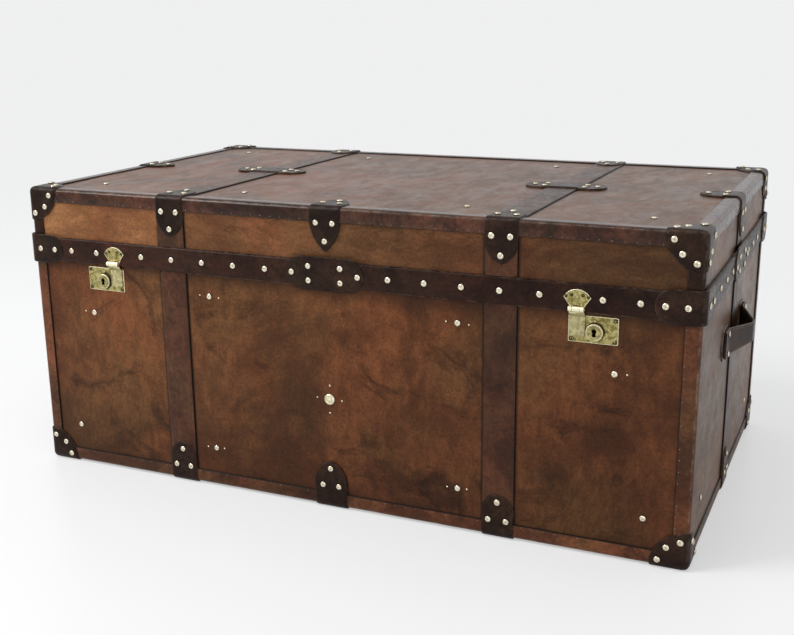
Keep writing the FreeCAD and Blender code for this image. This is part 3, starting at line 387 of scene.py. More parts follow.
dark_leather = leather("dark_leather", (0.010, 0.005, 0.0035), (0.023, 0.011, 0.007),
                       (0.046, 0.023, 0.014), scale=14.0, rough=0.32, mask_tone=(0.13, 0.09, 0.07),
                       wear_share=0.35, gloss=0.1)
band_leather = leather("band_leather", (0.013, 0.006, 0.004), (0.036, 0.014, 0.009), (0.064, 0.026, 0.016),
                       scale=9.0, streak=(5, 5, 20), shift=(2, 2, 8), rough=0.34,
                       mask_tone=(0.12, 0.085, 0.07), gloss=0.1, fade=((0.0, 1.0), (1.0, 0.6)))
handle_leather = leather("handle_leather", (0.012, 0.007, 0.005), (0.030, 0.015, 0.010),
                         (0.055, 0.029, 0.019), scale=12.0, shift=(4, 4, 9), rough=0.33, gloss=0.2,
                         mask_tone=(0.26, 0.19, 0.14), wear_share=0.6)
linen_thread = leather("linen_thread", (0.16, 0.12, 0.07), (0.26, 0.20, 0.13), (0.36, 0.29, 0.20),
                       scale=60.0, streak=(3, 3, 26), rough=0.8, bump=0.5)
print("leathers", [m.name for m in (hide_front, hide_lid, hide_top, hide_end, strap_leather, binding_leather,
                                    rail_leather, dark_leather, band_leather, handle_leather)])

# %% [markdown]
# ## Metal, wood and cloth
# Brass that is never polished goes olive in the hollows and stays bright where it is touched; that
# pale tone is also a painted highlight on the hasps' barrels, the flap's knuckle and the boss's
# shoulder. The plates take that from their rim attribute and from noise; the nail heads take it from
# their crown, dark round the foot, which is tarnish and painted shade. The hidden boards are pine and
# the lining is plain cotton.


# %% Tarnish
def tarnish():
    """Blotches and fine pits of tarnish, from 0, clean, to 1, and a height for the pits."""
    tree, given, result = group("ShaderNodeTree", "tarnish", {"Blotches": 90.0, "Pits": 900.0},
                                "Mask", "Height")
    blotch = noisy(tree, here(tree), given["Blotches"], 6.0, 0.68, 0.8)
    pits = noisy(tree, here(tree), given["Pits"], 3.0, 0.6)
    deep = maths(tree, "MULTIPLY_ADD", pits, 0.35, span(tree, blotch, 0.36, 0.64))
    return send(tree, result, Mask=maths(tree, "SUBTRACT", deep, 0.12, clamp=True),
                Height=maths(tree, "MULTIPLY_ADD", blotch, 0.6, pits))


dulled = tarnish()
dirt_and_shade_tone = (0.016, 0.013, 0.007, 1)


# %% Brass recipe
def brass(name, bright, dull, mask_tone, carried, low, high, shine=0.28, bump=0.3, blotches=140.0, dimple=0.0):
    """Aged brass; a carried attribute between low and high turns it to a second tone: on the plates,
    barrels and boss the pale tone of rubbed brass, partly a painted highlight, and on nail heads a dark
    tone round the foot, which is tarnish and painted shade. A piece's fold attribute marks the hollows
    that hold dirt, and the boss's wall, whose dark tone is painted shade and dirt."""
    material, tree, inputs = new_material(name)
    inputs["Metallic"].default_value = 1.0
    old = effect(tree, dulled, Blotches=blotches)
    place, dirt_and_shade = attribute(tree, carried), attribute(tree, "fold")
    colour = mix(tree, old["Mask"], (*bright, 1), (*dull, 1))
    colour = mix(tree, span(tree, place, low, high), colour, (*mask_tone, 1))
    # Painted reflection: a dark spot on the crown of a head, where its dimple is.
    if dimple:
        colour = mix(tree, span(tree, place, 0.91, 0.99, 0.0, dimple), colour, (*mask_tone, 1))
    colour = mix(tree, dirt_and_shade, colour, dirt_and_shade_tone)
    rough = maths(tree, "MULTIPLY_ADD", old["Mask"], 0.28, maths(tree, "MULTIPLY_ADD", dirt_and_shade, 0.3, shine))
    surface(tree, inputs, colour, rough, old["Height"], bump, 0.2 * mm)
    return material


# The pale third tone of this brass is rubbed metal on plate rims and partly a painted highlight: it covers
# the hasps' barrels and the flap's knuckle whole, and half the boss's shoulder.
aged_brass = brass("aged_brass", (0.50, 0.43, 0.18), (0.19, 0.158, 0.052), (0.86, 0.80, 0.56),
                   "rim", 1.6 * mm, 0.2 * mm)
# Painted shade and tarnish: the nail, stud, tack and pin heads darken towards the foot through their third
# tone.
nail_brass = brass("nail_brass", (0.90, 0.84, 0.70), (0.56, 0.48, 0.33), (0.035, 0.025, 0.016),
                   "crown", 0.5, 0.08, shine=0.16, bump=0.2, blotches=260.0, dimple=0.5)
stud_brass = brass("stud_brass", (0.90, 0.84, 0.66), (0.56, 0.48, 0.30), (0.035, 0.025, 0.016),
                   "crown", 0.4, 0.06, shine=0.2, bump=0.15, blotches=160.0)
# Painted shade and tarnish: the pins are dark brass so that they read as the shaded holes round them, and
# they are darker still towards the foot.
pin_brass = brass("pin_brass", (0.30, 0.26, 0.13), (0.06, 0.05, 0.025), (0.012, 0.010, 0.006),
                  "crown", 0.75, 0.3, shine=0.3, bump=0.2, blotches=260.0)
tack_brass = brass("tack_brass", (0.34, 0.28, 0.20), (0.13, 0.10, 0.065), (0.03, 0.022, 0.015),
                   "crown", 0.5, 0.05, shine=0.35, bump=0.15)


# %% Pine
def pine():
    """Planed pine, its rings drawn out along the trunk, with darker latewood."""
    material, tree, inputs = new_material("pine_board")
    drawn = add(tree, "ShaderNodeMapping", {"Vector": here(tree), "Scale": (0.6, 6, 9)}).outputs[0]
    warp = noisy(tree, drawn, 1.3, 3.0, distortion=0.4)
    rings = add(tree, "ShaderNodeTexWave", {"Vector": drawn, "Scale": 2.2, "Distortion": 7.0, "Detail": 2.0,
                                           "Phase Offset": warp}, bands_direction="DIAGONAL").outputs["Fac"]
    fibre = add(tree, "ShaderNodeMapping", {"Vector": here(tree), "Scale": (12, 500, 500)}).outputs[0]
    pores = noisy(tree, fibre, 1.0, 4.0)
    colour = mix(tree, span(tree, rings, 0.35, 0.95), (0.50, 0.32, 0.16, 1), (0.30, 0.16, 0.07, 1))
    colour = mix(tree, span(tree, pores, 0.55, 0.75, 0.0, 0.35), colour, (0.20, 0.11, 0.05, 1))
    surface(tree, inputs, colour, maths(tree, "MULTIPLY_ADD", pores, 0.3, 0.4),
            maths(tree, "MULTIPLY_ADD", rings, 0.3, pores), 0.3, 0.2 * mm)
    return material


pine_board = pine()


# %% Lining
def cotton():
    """Plain-woven cotton pasted over card, a little yellowed and stained."""
    material, tree, inputs = new_material("lining_cloth")
    inputs["Sheen Weight"].default_value = 0.15
    threads = []
    for direction in ("X", "Y", "Z"):
        wave = add(tree, "ShaderNodeTexWave", {"Vector": here(tree), "Scale": 260.0, "Distortion": 0.6,
                                              "Detail": 1.0}, bands_direction=direction)
        threads.append(wave.outputs["Fac"])
    weave = maths(tree, "ADD", maths(tree, "ADD", threads[0], threads[1]), threads[2])
    stain = noisy(tree, here(tree), 5.0, 6.0, 0.6)
    colour = mix(tree, span(tree, stain, 0.35, 0.75), (0.48, 0.39, 0.26, 1), (0.38, 0.295, 0.18, 1))
    colour = mix(tree, span(tree, weave, 0.6, 2.4, 0.35, 0.0), colour, (0.20, 0.14, 0.08, 1))
    surface(tree, inputs, colour, maths(tree, "MULTIPLY_ADD", stain, 0.1, 0.82), weave, 0.35, 0.15 * mm)
    return material


lining_cloth = cotton()
print("metals, wood and cloth", [m.name for m in (aged_brass, nail_brass, pine_board, lining_cloth)])

# %% [markdown]
# ## The trunk's form
# Every sheet of leather lies on the same rounded block. A point is first placed on the sharp
# block, then pulled to the rounded one: find the nearest point of a smaller core, and step out
# from it by the edge radius and the layer's rise. Flats, edges and corners all follow from that.

# %% The form
edge_radius = 3.5 * mm
trim_rise = 4.5 * mm
half_x, half_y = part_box("base_corner_bindings")[1][:2]
top_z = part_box("lid_top_bindings")[1].z
foot_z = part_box("base_bottom_bindings")[0].z
opening_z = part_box("lid_front_board")[0].z
rim_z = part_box("base_front_board")[1].z
inset = edge_radius + trim_rise
core_low = np.array([inset - half_x, inset - half_y, foot_z + inset])
core_high = np.array([half_x - inset, half_y - inset, top_z - inset])


def wrap(points, rise):
    """Points of the sharp block carried onto the rounded form, and the way out at each."""
    core = np.clip(points, core_low, core_high)
    way = points - core
    way /= np.linalg.norm(way, axis=1)[:, None]
    return core + way * (edge_radius + rise)[:, None], way


print("half length", half_x, "half depth", half_y, "top", top_z, "opening", opening_z)

# %% [markdown]
# ## Cutting a sheet
# A sheet starts as a flat outline. Rings of points just inside the rim let its edge roll over,
# rows of points along a fold let it bend, and a loose grid fills the rest. A constrained
# Delaunay triangulation joins them, and each point keeps its distance from the rim.


# %% Outlines and cutting
def dense(outline, step):
    """The outline with no side longer than a step."""
    points = []
    for a, b in zip(outline, np.roll(outline, -1, axis=0)):
        count = max(1, int(math.ceil(np.linalg.norm(b - a) / step)))
        points += [a + (b - a) * n / count for n in range(count)]
    return np.array(points)


def depth_inside(points, outline):
    """Each point's distance from the outline, negative outside it."""
    a, b = outline, np.roll(outline, -1, axis=0)
    side = b - a
    apart = points[:, None, :] - a[None]
    share = np.clip((apart * side).sum(2) / (side ** 2).sum(1), 0, 1)
    near = np.sqrt(((apart - share[..., None] * side) ** 2).sum(2).min(1))
    crosses = (a[:, 1] > points[:, None, 1]) != (b[:, 1] > points[:, None, 1])
    with np.errstate(divide="ignore", invalid="ignore"):
        at = a[:, 0] + (points[:, None, 1] - a[:, 1]) / side[:, 1] * side[:, 0]
    inside = ((crosses & (points[:, None, 0] < at)).sum(1) % 2) == 1
    return np.where(inside, near, -near)


def cut_sheet(outline, spacing, rolled, rows=(), holes=(), rim=None):
    """Triangles of a flat sheet: points, their depth inside the rim, and index triples."""
    outline = dense(np.array(outline, float), spacing)
    rim = outline if rim is None else dense(np.array(rim, float), spacing)
    low, high = outline.min(0), outline.max(0)
    tangent = np.roll(outline, -1, axis=0) - np.roll(outline, 1, axis=0)
    normal = np.stack([-tangent[:, 1], tangent[:, 0]], 1)
    normal /= np.linalg.norm(normal, axis=1)[:, None]
    rings = [outline + normal * rolled * share for share in (0.2, 0.5, 1.0)]
    rings = [ring[depth_inside(ring, outline) > 0.9 * rolled * share]
             for ring, share in zip(rings, (0.2, 0.5, 1.0))]
    grid = np.stack(np.meshgrid(np.arange(low[0], high[0], spacing) + spacing / 2,
                                np.arange(low[1], high[1], spacing) + spacing / 2), -1).reshape(-1, 2)
    for row in rows:
        grid = grid[abs(grid[:, 1] - row) > 1.2 * mm]
    across = np.arange(low[0], high[0], spacing) + spacing / 2
    lines = [np.stack([across, np.full(len(across), row)], 1) for row in rows]
    loose = np.concatenate([grid] + lines)
    loose = loose[depth_inside(loose, outline) > rolled + 0.35 * spacing]
    inner = np.concatenate(rings + [loose])
    loops = [list(range(len(outline)))]
    border = [outline]
    for hole in holes:
        hole = dense(np.array(hole, float), spacing)
        inner = inner[depth_inside(inner, hole) < -0.5 * mm]
        start = sum(len(part) for part in border)
        loops.append(list(range(start, start + len(hole))))
        border.append(hole)
    points = np.concatenate(border + [inner])
    edges = [(a, b) for loop in loops for a, b in zip(loop, loop[1:] + loop[:1])]
    made = delaunay_2d_cdt([Vector(p) for p in points], edges, [], 0, 1e-7)
    points = np.array([tuple(p) for p in made[0]])
    triples = np.array([face for face in made[2]])
    middles = points[triples].mean(1)
    keep = depth_inside(middles, outline) > 0
    for hole in holes:
        keep &= depth_inside(middles, np.array(hole, float)) < 0
    return points, np.abs(depth_inside(points, rim)), triples[keep]


# %% [markdown]
# ## Laying a sheet
# A sheet is laid by a fold: an edge of the trunk, the way across it, and the two ways down its
# faces. Below zero a sheet's second coordinate runs down the first face, and above zero across
# the second. Several sheets weld into one skin where they share an edge, as a corner cap's do.


# %% Laying
def fold(edge, across, first, second):
    """A placing of flat points over an edge of the sharp block."""
    edge, across, first, second = (np.array(v, float) for v in (edge, across, first, second))

    def put(points):
        u, s = points[:, :1], points[:, 1:]
        return edge + u * across + np.maximum(-s, 0) * first + np.maximum(s, 0) * second
    return put


def mirrored(put, *signs):
    """The same placing, mirrored by signs along X, Y and Z."""
    return lambda points: put(points) * np.array(signs, float)


def lumps(points, size, seed):
    """Slow smooth unevenness between -1 and 1 at points."""
    return np.array([noise.noise(Vector(p / size) + Vector((seed, 0, 0))) for p in points])

def skin(sheets, low, high, rolled, lip=0.35, uneven=0.12 * mm, size=0.05, dip=None, seed=1.0):
    """A closed sheet of leather: sheets is a list of (cut sheet, placing); rises are in metres."""
    spots, depths, triples, count = [], [], [], 0
    for (points, depth, faces), put in sheets:
        spots.append(put(points))
        depths.append(depth)
        triples.append(faces + count)
        count += len(points)
    spots, depths, triples = np.concatenate(spots), np.concatenate(depths), np.concatenate(triples)
    welded = np.unique(np.round(spots, 6), axis=0, return_index=True, return_inverse=True)
    first, back = welded[1], welded[2].reshape(-1)
    spots, depths, triples = spots[first], depths[first], back[triples]
    share = np.clip(depths / rolled, 0, 1)
    height = (high - low) * (lip + (1 - lip) * np.sqrt(1 - (1 - share) ** 2))
    height += uneven * lumps(spots, size, seed) * share
    if dip is not None:
        height -= dip(spots) * share
    outer, way = wrap(spots, low + height)
    inner = wrap(spots, np.full(len(spots), low))[0]
    a, b, c = (outer[triples[:, n]] for n in range(3))
    facing = (np.cross(b - a, c - a) * way[triples[:, 0]]).sum(1)
    triples = np.where((facing < 0)[:, None], triples[:, ::-1], triples)
    sides = np.concatenate([triples[:, [0, 1]], triples[:, [1, 2]], triples[:, [2, 0]]]).tolist()
    twins = {(i, j) for i, j in sides}
    total = len(spots)
    faces = triples.tolist() + (triples[:, ::-1] + total).tolist()
    faces += [(j, i, i + total, j + total) for i, j in sides if (j, i) not in twins]
    folds = 1 - np.abs(way).max(1)
    return np.concatenate([outer, inner]), faces, np.concatenate([depths, 0 * depths]), np.tile(folds, 2)


laid = {"base": [], "lid": []}


def store(mesh, label, values):
    """Keep a number or a vector with each point of a mesh."""
    values = np.array(values, float)
    kind, key = ("FLOAT", "value") if values.ndim == 1 else ("FLOAT_VECTOR", "vector")
    mesh.attributes.new(label, kind, "POINT").data.foreach_set(key, values.ravel())


def smoothed(mesh, angle, material):
    """Smooth shading with sharp edges above an angle, and a material."""
    mesh.shade_smooth()
    mesh.set_sharp_from_angle(angle=math.radians(angle))
    mesh.materials.append(material)


def fitted(piece, body, slot, *nodes):
    """Let a piece ride on a body and hide the CAD nodes that it stands for; slot is not used."""
    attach(piece, body)
    if nodes:
        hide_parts(*nodes)
    print(piece.name, len(piece.data.polygons), "faces")


def make_piece(name, body, slot, material, skins, *nodes):
    """One object of several skins, riding on a body and standing for CAD nodes."""
    vertices, faces, rims, folds = [], [], [], []
    for points, own, rim, folded in skins:
        start = sum(len(v) for v in vertices)
        vertices.append(points)
        faces += [[i + start for i in face] for face in own]
        rims.append(rim)
        folds.append(folded)
    mesh = bpy.data.meshes.new(name)
    mesh.from_pydata(np.concatenate(vertices).tolist(), [], faces)
    store(mesh, "rim", np.concatenate(rims))
    store(mesh, "fold", np.concatenate(folds))
    smoothed(mesh, 50, material)
    piece = placed(name, mesh)
    fitted(piece, body, slot, *nodes)
    laid.setdefault(body, []).append(piece)


# %% [markdown]
# ## Edges of the trunk
# Five folds cover the whole trunk: the front and end edges above and below, and the upright
# edge. Their mirror images give the back and the left end. Faces are placed without a fold.

# %% Edges
front_top = fold((0, -half_y, top_z), (1, 0, 0), (0, 0, -1), (0, 1, 0))
end_top = fold((half_x, 0, top_z), (0, 1, 0), (0, 0, -1), (-1, 0, 0))
front_foot = fold((0, -half_y, foot_z), (1, 0, 0), (0, 0, 1), (0, 1, 0))
end_foot = fold((half_x, 0, foot_z), (0, 1, 0), (0, 0, 1), (-1, 0, 0))
upright_edge = fold((half_x, -half_y, 0), (0, 0, 1), (-1, 0, 0), (0, 1, 0))
front_face = fold((0, -half_y, 0), (1, 0, 0), (0, 0, 1), (0, 0, 1))
end_face = fold((half_x, 0, 0), (0, 1, 0), (0, 0, 1), (0, 0, 1))
row_gap, row_count = 1.6, 5
fold_rows = [n * row_gap * mm for n in range(-row_count, row_count + 1)]


def flat_at(z, x=0.0):
    """A placing on a level face, moved along X."""
    return lambda points: np.stack([points[:, 0] + x, points[:, 1], np.full(len(points), z)], 1)


def shifted(put, across):
    """A placing moved along its first coordinate."""
    return lambda points: put(points + np.array([across, 0]))


def two_ends(put):
    """A right-hand placing and its mirror image at the left, with their signs."""
    return [(x, mirrored(put, x, 1, 1)) for x in (1, -1)]


def four(put):
    """A front right placing and its three mirror images."""
    return [mirrored(put, x, y, 1) for x in (1, -1) for y in (1, -1)]


def rectangle(x0, x1, y0, y1):
    """Corners of a rectangle, counter-clockwise."""
    return [(x0, y0), (x1, y0), (x1, y1), (x0, y1)]


print("edges ready")

# %% [markdown]
# ## Hide
# The panels are one skin of hide each, glued to the boards. A slow unevenness of a few tenths
# of a millimetre is what makes real hide catch the light in soft patches.

# %% Hide panels
glue = 0.1 * mm
hide_rise, hide_roll, hide_spacing = 2.0 * mm, 1.2 * mm, 9 * mm
board_x, board_y = half_x - trim_rise, half_y - trim_rise
panel_x, panel_y = board_x - edge_radius, board_y - edge_radius
lid_low, lid_high = opening_z, top_z - trim_rise - edge_radius
base_low, base_high = foot_z + trim_rise + edge_radius, rim_z


def panel(put, x, low, high, seed, holes=()):
    """One flat panel of hide between two heights."""
    cut = cut_sheet(rectangle(-x, x, low, high), hide_spacing, hide_roll, holes=holes)
    return skin([(cut, put)], glue, hide_rise, hide_roll, lip=0.9, uneven=0.35 * mm, size=0.09, seed=seed)


pocket_low, pocket_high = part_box("lock_cases")
lock_low, lock_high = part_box("lock_plates")
case_gap, pocket_width = 0.3 * mm, 66.6 * mm
case_half = (pocket_high.z - pocket_low.z) / 2 + case_gap
case_mid = (pocket_high.z + pocket_low.z) / 2
case_far = pocket_high.x + case_gap
case_near = case_far - pocket_width
pockets = [rectangle(case_near, case_far, case_mid - case_half, case_mid + case_half),
           rectangle(-case_far, -case_near, case_mid - case_half, case_mid + case_half)]
for body, finish, low, high, seed, holes in (("base", hide_front, base_low, base_high, 1, pockets),
                                             ("lid", hide_lid, lid_low, lid_high, 5, ())):
    make_piece(f"hide_{body}_front", body, "hide", finish,
               [panel(front_face, panel_x, low, high, seed, holes)], body + "_front_leather")
    make_piece(f"hide_{body}_back", body, "hide", finish,
               [panel(mirrored(front_face, 1, -1, 1), panel_x, low, high, seed + 1)], body + "_back_leather")
    make_piece(f"hide_{body}_ends", body, "hide", hide_end,
               [panel(put, panel_y, low, high, seed + 2 + x) for x, put in two_ends(end_face)],
               body + "_end_leathers")
make_piece("hide_lid_top", "lid", "hide", hide_top,
           [panel(flat_at(top_z), panel_x, -panel_y, panel_y, 9)], "lid_top_leather")
make_piece("cover_underneath", "base", "hide", hide_end,
           [panel(flat_at(foot_z), panel_x, -panel_y, panel_y, 10)], "base_underside_cover")

# %% [markdown]
# ## Bindings and seam straps
# Strips of harness leather cover every edge and seam. Each is one rolled sheet; the edge
# bindings fold over the trunk's edges along a fan of close rows.

# %% Bindings and straps
binding, strap_half, strap_x = 25 * mm, 27 * mm, 298.5 * mm
band_height = 43 * mm
band_top = opening_z + band_height + glue
run_x, run_y = half_x - binding, half_y - binding
strap_roll, strap_spacing = 1.6 * mm, 7 * mm


def strap(put, outline, rim, rows, seed):
    """A rolled strap. Its rim may run on past its outline, under the piece that covers its end."""
    cut = cut_sheet(outline, strap_spacing, strap_roll, rows, rim=rim)
    return skin([(cut, put)], hide_rise + glue, trim_rise, strap_roll, seed=seed)


def strip(put, low, high, seed):
    """An edge binding from one place to another along its edge."""
    return strap(put, rectangle(low, high, -binding, binding),
                 rectangle(low - binding, high + binding, -binding, binding), fold_rows, seed)


def seam(put, low, high, seed):
    """A flat strap between two places on a face."""
    return strap(put, rectangle(-strap_half, strap_half, low, high),
                 rectangle(-strap_half, strap_half, low - strap_half, high + strap_half), (), seed)


def rails(front, end, seed):
    """Bindings along the four edges at the trunk's foot or top."""
    made = [strip(mirrored(front, 1, y, 1), -run_x, run_x, seed + y) for y in (1, -1)]
    return made + [strip(put, -run_y, run_y, seed + 2 + x) for x, put in two_ends(end)]


make_piece("bindings_foot", "base", "strap_leather", rail_leather, rails(front_foot, end_foot, 0),
           "base_bottom_bindings")
make_piece("bindings_top", "lid", "strap_leather", binding_leather, rails(front_top, end_top, 4),
           "lid_top_bindings")
spans = {"base": (foot_z + binding, rim_z), "lid": (band_top, top_z - binding)}
for body, finish in (("base", rail_leather), ("lid", band_leather)):
    posts = [strip(put, *spans[body], n) for n, put in enumerate(four(upright_edge))]
    make_piece("bindings_upright_" + body, body, "strap_leather", finish, posts, body + "_corner_bindings")
for body in ("base", "lid"):
    straps = [seam(put, *spans[body], n) for n, put in enumerate(four(shifted(front_face, strap_x)))]
    straps += [seam(put, *spans[body], 5 + x) for x, put in two_ends(end_face)]
    if body == "lid":
        straps += [seam(flat_at(top_z, x * strap_x), -run_y, run_y, 8 + x) for x in (1, -1)]
    make_piece("straps_" + body, body, "strap_leather", strap_leather, straps, body + "_seam_straps")

# %% [markdown]
# ## Caps, shields, foot patches and bows
# The dark patches are thicker leather, wetted and pressed over whatever lies under them. Their
# faces dip a little where no binding or strap holds them up, which shows as a soft step.

# %% Patches
patch_rise, patch_roll, cap_reach = 7.0 * mm, 2.2 * mm, 60 * mm
sink, sink_run = 1.5 * mm, 4 * mm
patch_lumps = {"uneven": 0.25 * mm, "size": 0.03}


def bare_below(points):
    """How far a patch sinks where only hide lies under it."""
    gaps = np.sort(np.stack([half_x - abs(points[:, 0]), half_y - abs(points[:, 1]),
                             np.minimum(top_z - points[:, 2], points[:, 2] - foot_z)], 1), axis=1)
    on_end = half_x - abs(points[:, 0]) < 1e-6
    beside = np.where(on_end, abs(points[:, 1]), abs(abs(points[:, 0]) - strap_x)) - strap_half
    bare = np.clip(np.minimum(gaps[:, 1] - binding, beside) / sink_run, 0, 1)
    return sink * bare * bare * (3 - 2 * bare)


def tip(half, straight, reach, facets=9):
    """The pointed or round end of a tab, from its right side to its left, two arcs to a point."""
    rise = reach - straight
    centre = (rise ** 2 - half ** 2) / (2 * half)
    turn = math.atan2(rise, centre)
    arc = [(-centre + (centre + half) * math.cos(turn * n / facets),
            straight + (centre + half) * math.sin(turn * n / facets)) for n in range(facets + 1)]
    return arc + [(-x, y) for x, y in arc[-2::-1]]


def tab(half, lower, upper):
    """A tab folded over an edge; each end is (straight, reach), or only a reach if it is square."""
    ends = []
    for end in (upper, lower):
        ends.append(tip(half, *end) if isinstance(end, tuple) else [(half, end), (-half, end)])
    return ends[0] + [(-x, -y) for x, y in ends[1]]


def patch(put, outline, rows=fold_rows, seed=1.0, low=hide_rise + glue, high=patch_rise, dip=bare_below):
    """A dark patch from its outline."""
    cut = cut_sheet(outline, 4 * mm, patch_roll, rows)
    return skin([(cut, put)], low, high, patch_roll, dip=dip, seed=seed, **patch_lumps)


def cap_skin(x, y, level):
    """A corner cap: a quarter disc on each of three faces, welded along the edges."""
    z = top_z if level > 0 else foot_z
    arc = [(cap_reach * math.cos(a), cap_reach * math.sin(a)) for a in np.linspace(0, math.pi / 2, 19)]
    near = [n * row_gap * mm for n in range(1, 7)]
    axis = [0, *near] + list(np.linspace(14 * mm, cap_reach, 13))
    outline = [(a, 0) for a in axis[:-1]] + arc + [(0, a) for a in axis[-2:0:-1]]
    points, _, faces = cut_sheet(outline, 6 * mm, 0.01 * mm, near)
    flat = (points, cap_reach - np.hypot(points[:, 0], points[:, 1]), faces)
    corner_at = np.array([x * half_x, y * half_y, z])
    ways = [np.array([-x, 0, 0]), np.array([0, -y, 0]), np.array([0, 0, -level])]
    sheets = []
    for one, two in ((0, 1), (1, 2), (2, 0)):
        sheets.append((flat, lambda p, a=ways[one], b=ways[two]: corner_at + p[:, :1] * a + p[:, 1:] * b))
    return skin(sheets, hide_rise + glue, patch_rise, patch_roll, dip=bare_below,
                seed=x + 2 * y + 4 * level, **patch_lumps)


def edge_patches(front, end, strap_tab, middle_tab):
    """Patches along one edge: over the straps, in the middle of the front, and at both ends."""
    made = [patch(put, strap_tab, seed=n) for n, put in enumerate(four(shifted(front, strap_x)))]
    made += [patch(front, middle_tab, seed=7)]
    return made + [patch(put, strap_tab, seed=9 + x) for x, put in two_ends(end)]


def stadium(length, width):
    """A long outline with round ends."""
    half, reach = width / 2, length / 2
    turn = np.linspace(-math.pi / 2, math.pi / 2, 17)
    side = [(reach - half + half * math.cos(a), half * math.sin(a)) for a in turn]
    return side + [(-x, -y) for x, y in side]


def dark_piece(name, body, skins, node):
    """A piece of the dark patch leather."""
    make_piece(name, body, "dark_leather", dark_leather, skins, node)


for body, level in (("lid", 1), ("base", -1)):
    dark_piece("caps_" + body, body, [cap_skin(x, y, level) for x in (1, -1) for y in (1, -1)],
               body + "_corner_caps")
strap_end, point_end = (34 * mm, 70 * mm), (20 * mm, 73 * mm)
foot_end, foot_point, under = (46 * mm, 73 * mm), (45 * mm, 82 * mm), 40 * mm
dark_piece("shields_lid", "lid",
           edge_patches(front_top, end_top, tab(strap_half, strap_end, strap_end),
                        tab(28 * mm, point_end, point_end)), "lid_edge_shields")
dark_piece("patches_foot", "base",
           edge_patches(front_foot, end_foot, tab(strap_half, foot_end, under),
                        tab(30 * mm, foot_point, under)), "base_foot_patches")
dark_piece("bows_top", "lid", [patch(flat_at(top_z, x * strap_x), stadium(146 * mm, 54 * mm), (), seed=3 + x)
                               for x in (1, -1)], "lid_bow_patches")

# %% [markdown]
# ## Band and laps
# The band is a batten wrapped in dark leather. It runs right round the lid's rim, so it is one
# sheet per side that meets its neighbours in the middle of each corner.

# %% Band
band_rise, lap_rise, lap_sunk = 8.0 * mm, 10.5 * mm, 0.3 * mm
band_roll, band_spacing = 2.5 * mm, 6 * mm
band_mid, band_high = opening_z + 21.5 * mm, opening_z + band_height


def band_side(put, reach):
    """One side of the band, square at its ends, which meet the next side's."""
    points, _, faces = cut_sheet(rectangle(-reach, reach, opening_z, band_high), band_spacing, band_roll)
    return (points, np.minimum(points[:, 1] - opening_z, band_high - points[:, 1]), faces), put


sides = [band_side(mirrored(front_face, 1, y, 1), half_x) for y in (1, -1)]
sides += [band_side(put, half_y) for x, put in two_ends(end_face)]
make_piece("band_lid", "lid", "dark_leather", band_leather,
           [skin(sides, hide_rise + glue, band_rise, band_roll, lip=0.2, uneven=0.2 * mm)], "lid_band")


def lap(put, outline, seed, rows=()):
    """A patch over the band."""
    return patch(put, outline, rows, seed, band_rise - lap_sunk, lap_rise, None)


# %% [markdown]
# The laps at the two back corners stop at the opening, so that they clear the base when the lid
# swings up. Their outline is the front ones', cut along the opening.

# %% Laps
centre_lap = [(x, y + band_mid) for x, y in stadium(140 * mm, 57 * mm)]
laps = [lap(front_face, centre_lap, 1)] + [lap(put, centre_lap, 2) for x, put in two_ends(end_face)]
lap_end, lap_half, step_in = (42 * mm, 68 * mm), 26 * mm, 12 * mm
corner_lap = tab(lap_half, lap_end, lap_end)
clear = opening_z - band_mid + 0.2 * mm
back_lap = [(x, y) if y > 0 else (max(x, clear), y) for x, y in corner_lap]
turn_at = next(n for n, (x, y) in enumerate(back_lap) if y < 0)
back_lap[turn_at:turn_at] = [(-lap_half, step_in), (clear, step_in)]
laps += [lap(put, back_lap if n % 2 else corner_lap, 4 + n, fold_rows)
         for n, put in enumerate(four(shifted(upright_edge, band_mid)))]
dark_piece("laps_lid", "lid", laps, "lid_band_laps")

# %% [markdown]
# ## Nails
# Some two hundred brass nails hold the leather. The CAD model marks each with a low six-sided
# point, so their places are read from it: a nail's crown is the vertex nearest to all the
# others, and the way out runs from the middle of its foot to the crown. Each mark is then set
# down on the leather that was laid over it.


# %% Nail marks
def nail_marks(*nodes):
    """The foot, way out, radius and height of every nail in some CAD nodes."""
    marks = []
    for node in nodes:
        shape = bmesh.new()
        shape.from_mesh(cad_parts[node].data)
        bmesh.ops.remove_doubles(shape, verts=shape.verts, dist=0.01 * mm)
        left = set(shape.verts)
        while left:
            queue, found = [left.pop()], []
            while queue:
                one = queue.pop()
                found.append(tuple(one.co))
                near = {edge.other_vert(one) for edge in one.link_edges} & left
                left -= near
                queue += near
            spots = np.array(found)
            crown = np.linalg.norm(spots[:, None] - spots[None], axis=2).sum(1).argmin()
            rim = np.delete(spots, crown, axis=0)
            rise = spots[crown] - rim.mean(0)
            height = np.linalg.norm(rise)
            marks.append((rim.mean(0), rise / height, np.linalg.norm(rim[0] - rim.mean(0)), height))
        shape.free()
    return sorted(marks, key=lambda mark: tuple(mark[0]))


def seated(marks, body, sink):
    """Marks moved along their way out until they stand on the leather of a body."""
    trees = []
    for piece in laid[body]:
        mesh = piece.data
        corners = [v.co for v in mesh.vertices]
        trees.append(BVHTree.FromPolygons(corners, [tuple(p.vertices) for p in mesh.polygons]))
    moved = []
    for foot, way, radius, height in marks:
        start = Vector(foot) + Vector(way) * 12 * mm
        hits = [tree.ray_cast(start, -Vector(way), 20 * mm) for tree in trees]
        hits = [(hit[3], hit[1]) for hit in hits if hit[0] is not None]
        if hits:
            distance, normal = min(hits, key=lambda hit: hit[0])
            leaning = (Vector(way) * 2 + normal * normal.dot(Vector(way))).normalized()
            foot = np.array(start - Vector(way) * (distance + sink))
            way = np.array(leaning)
        moved.append((foot, way, radius, height))
    return moved


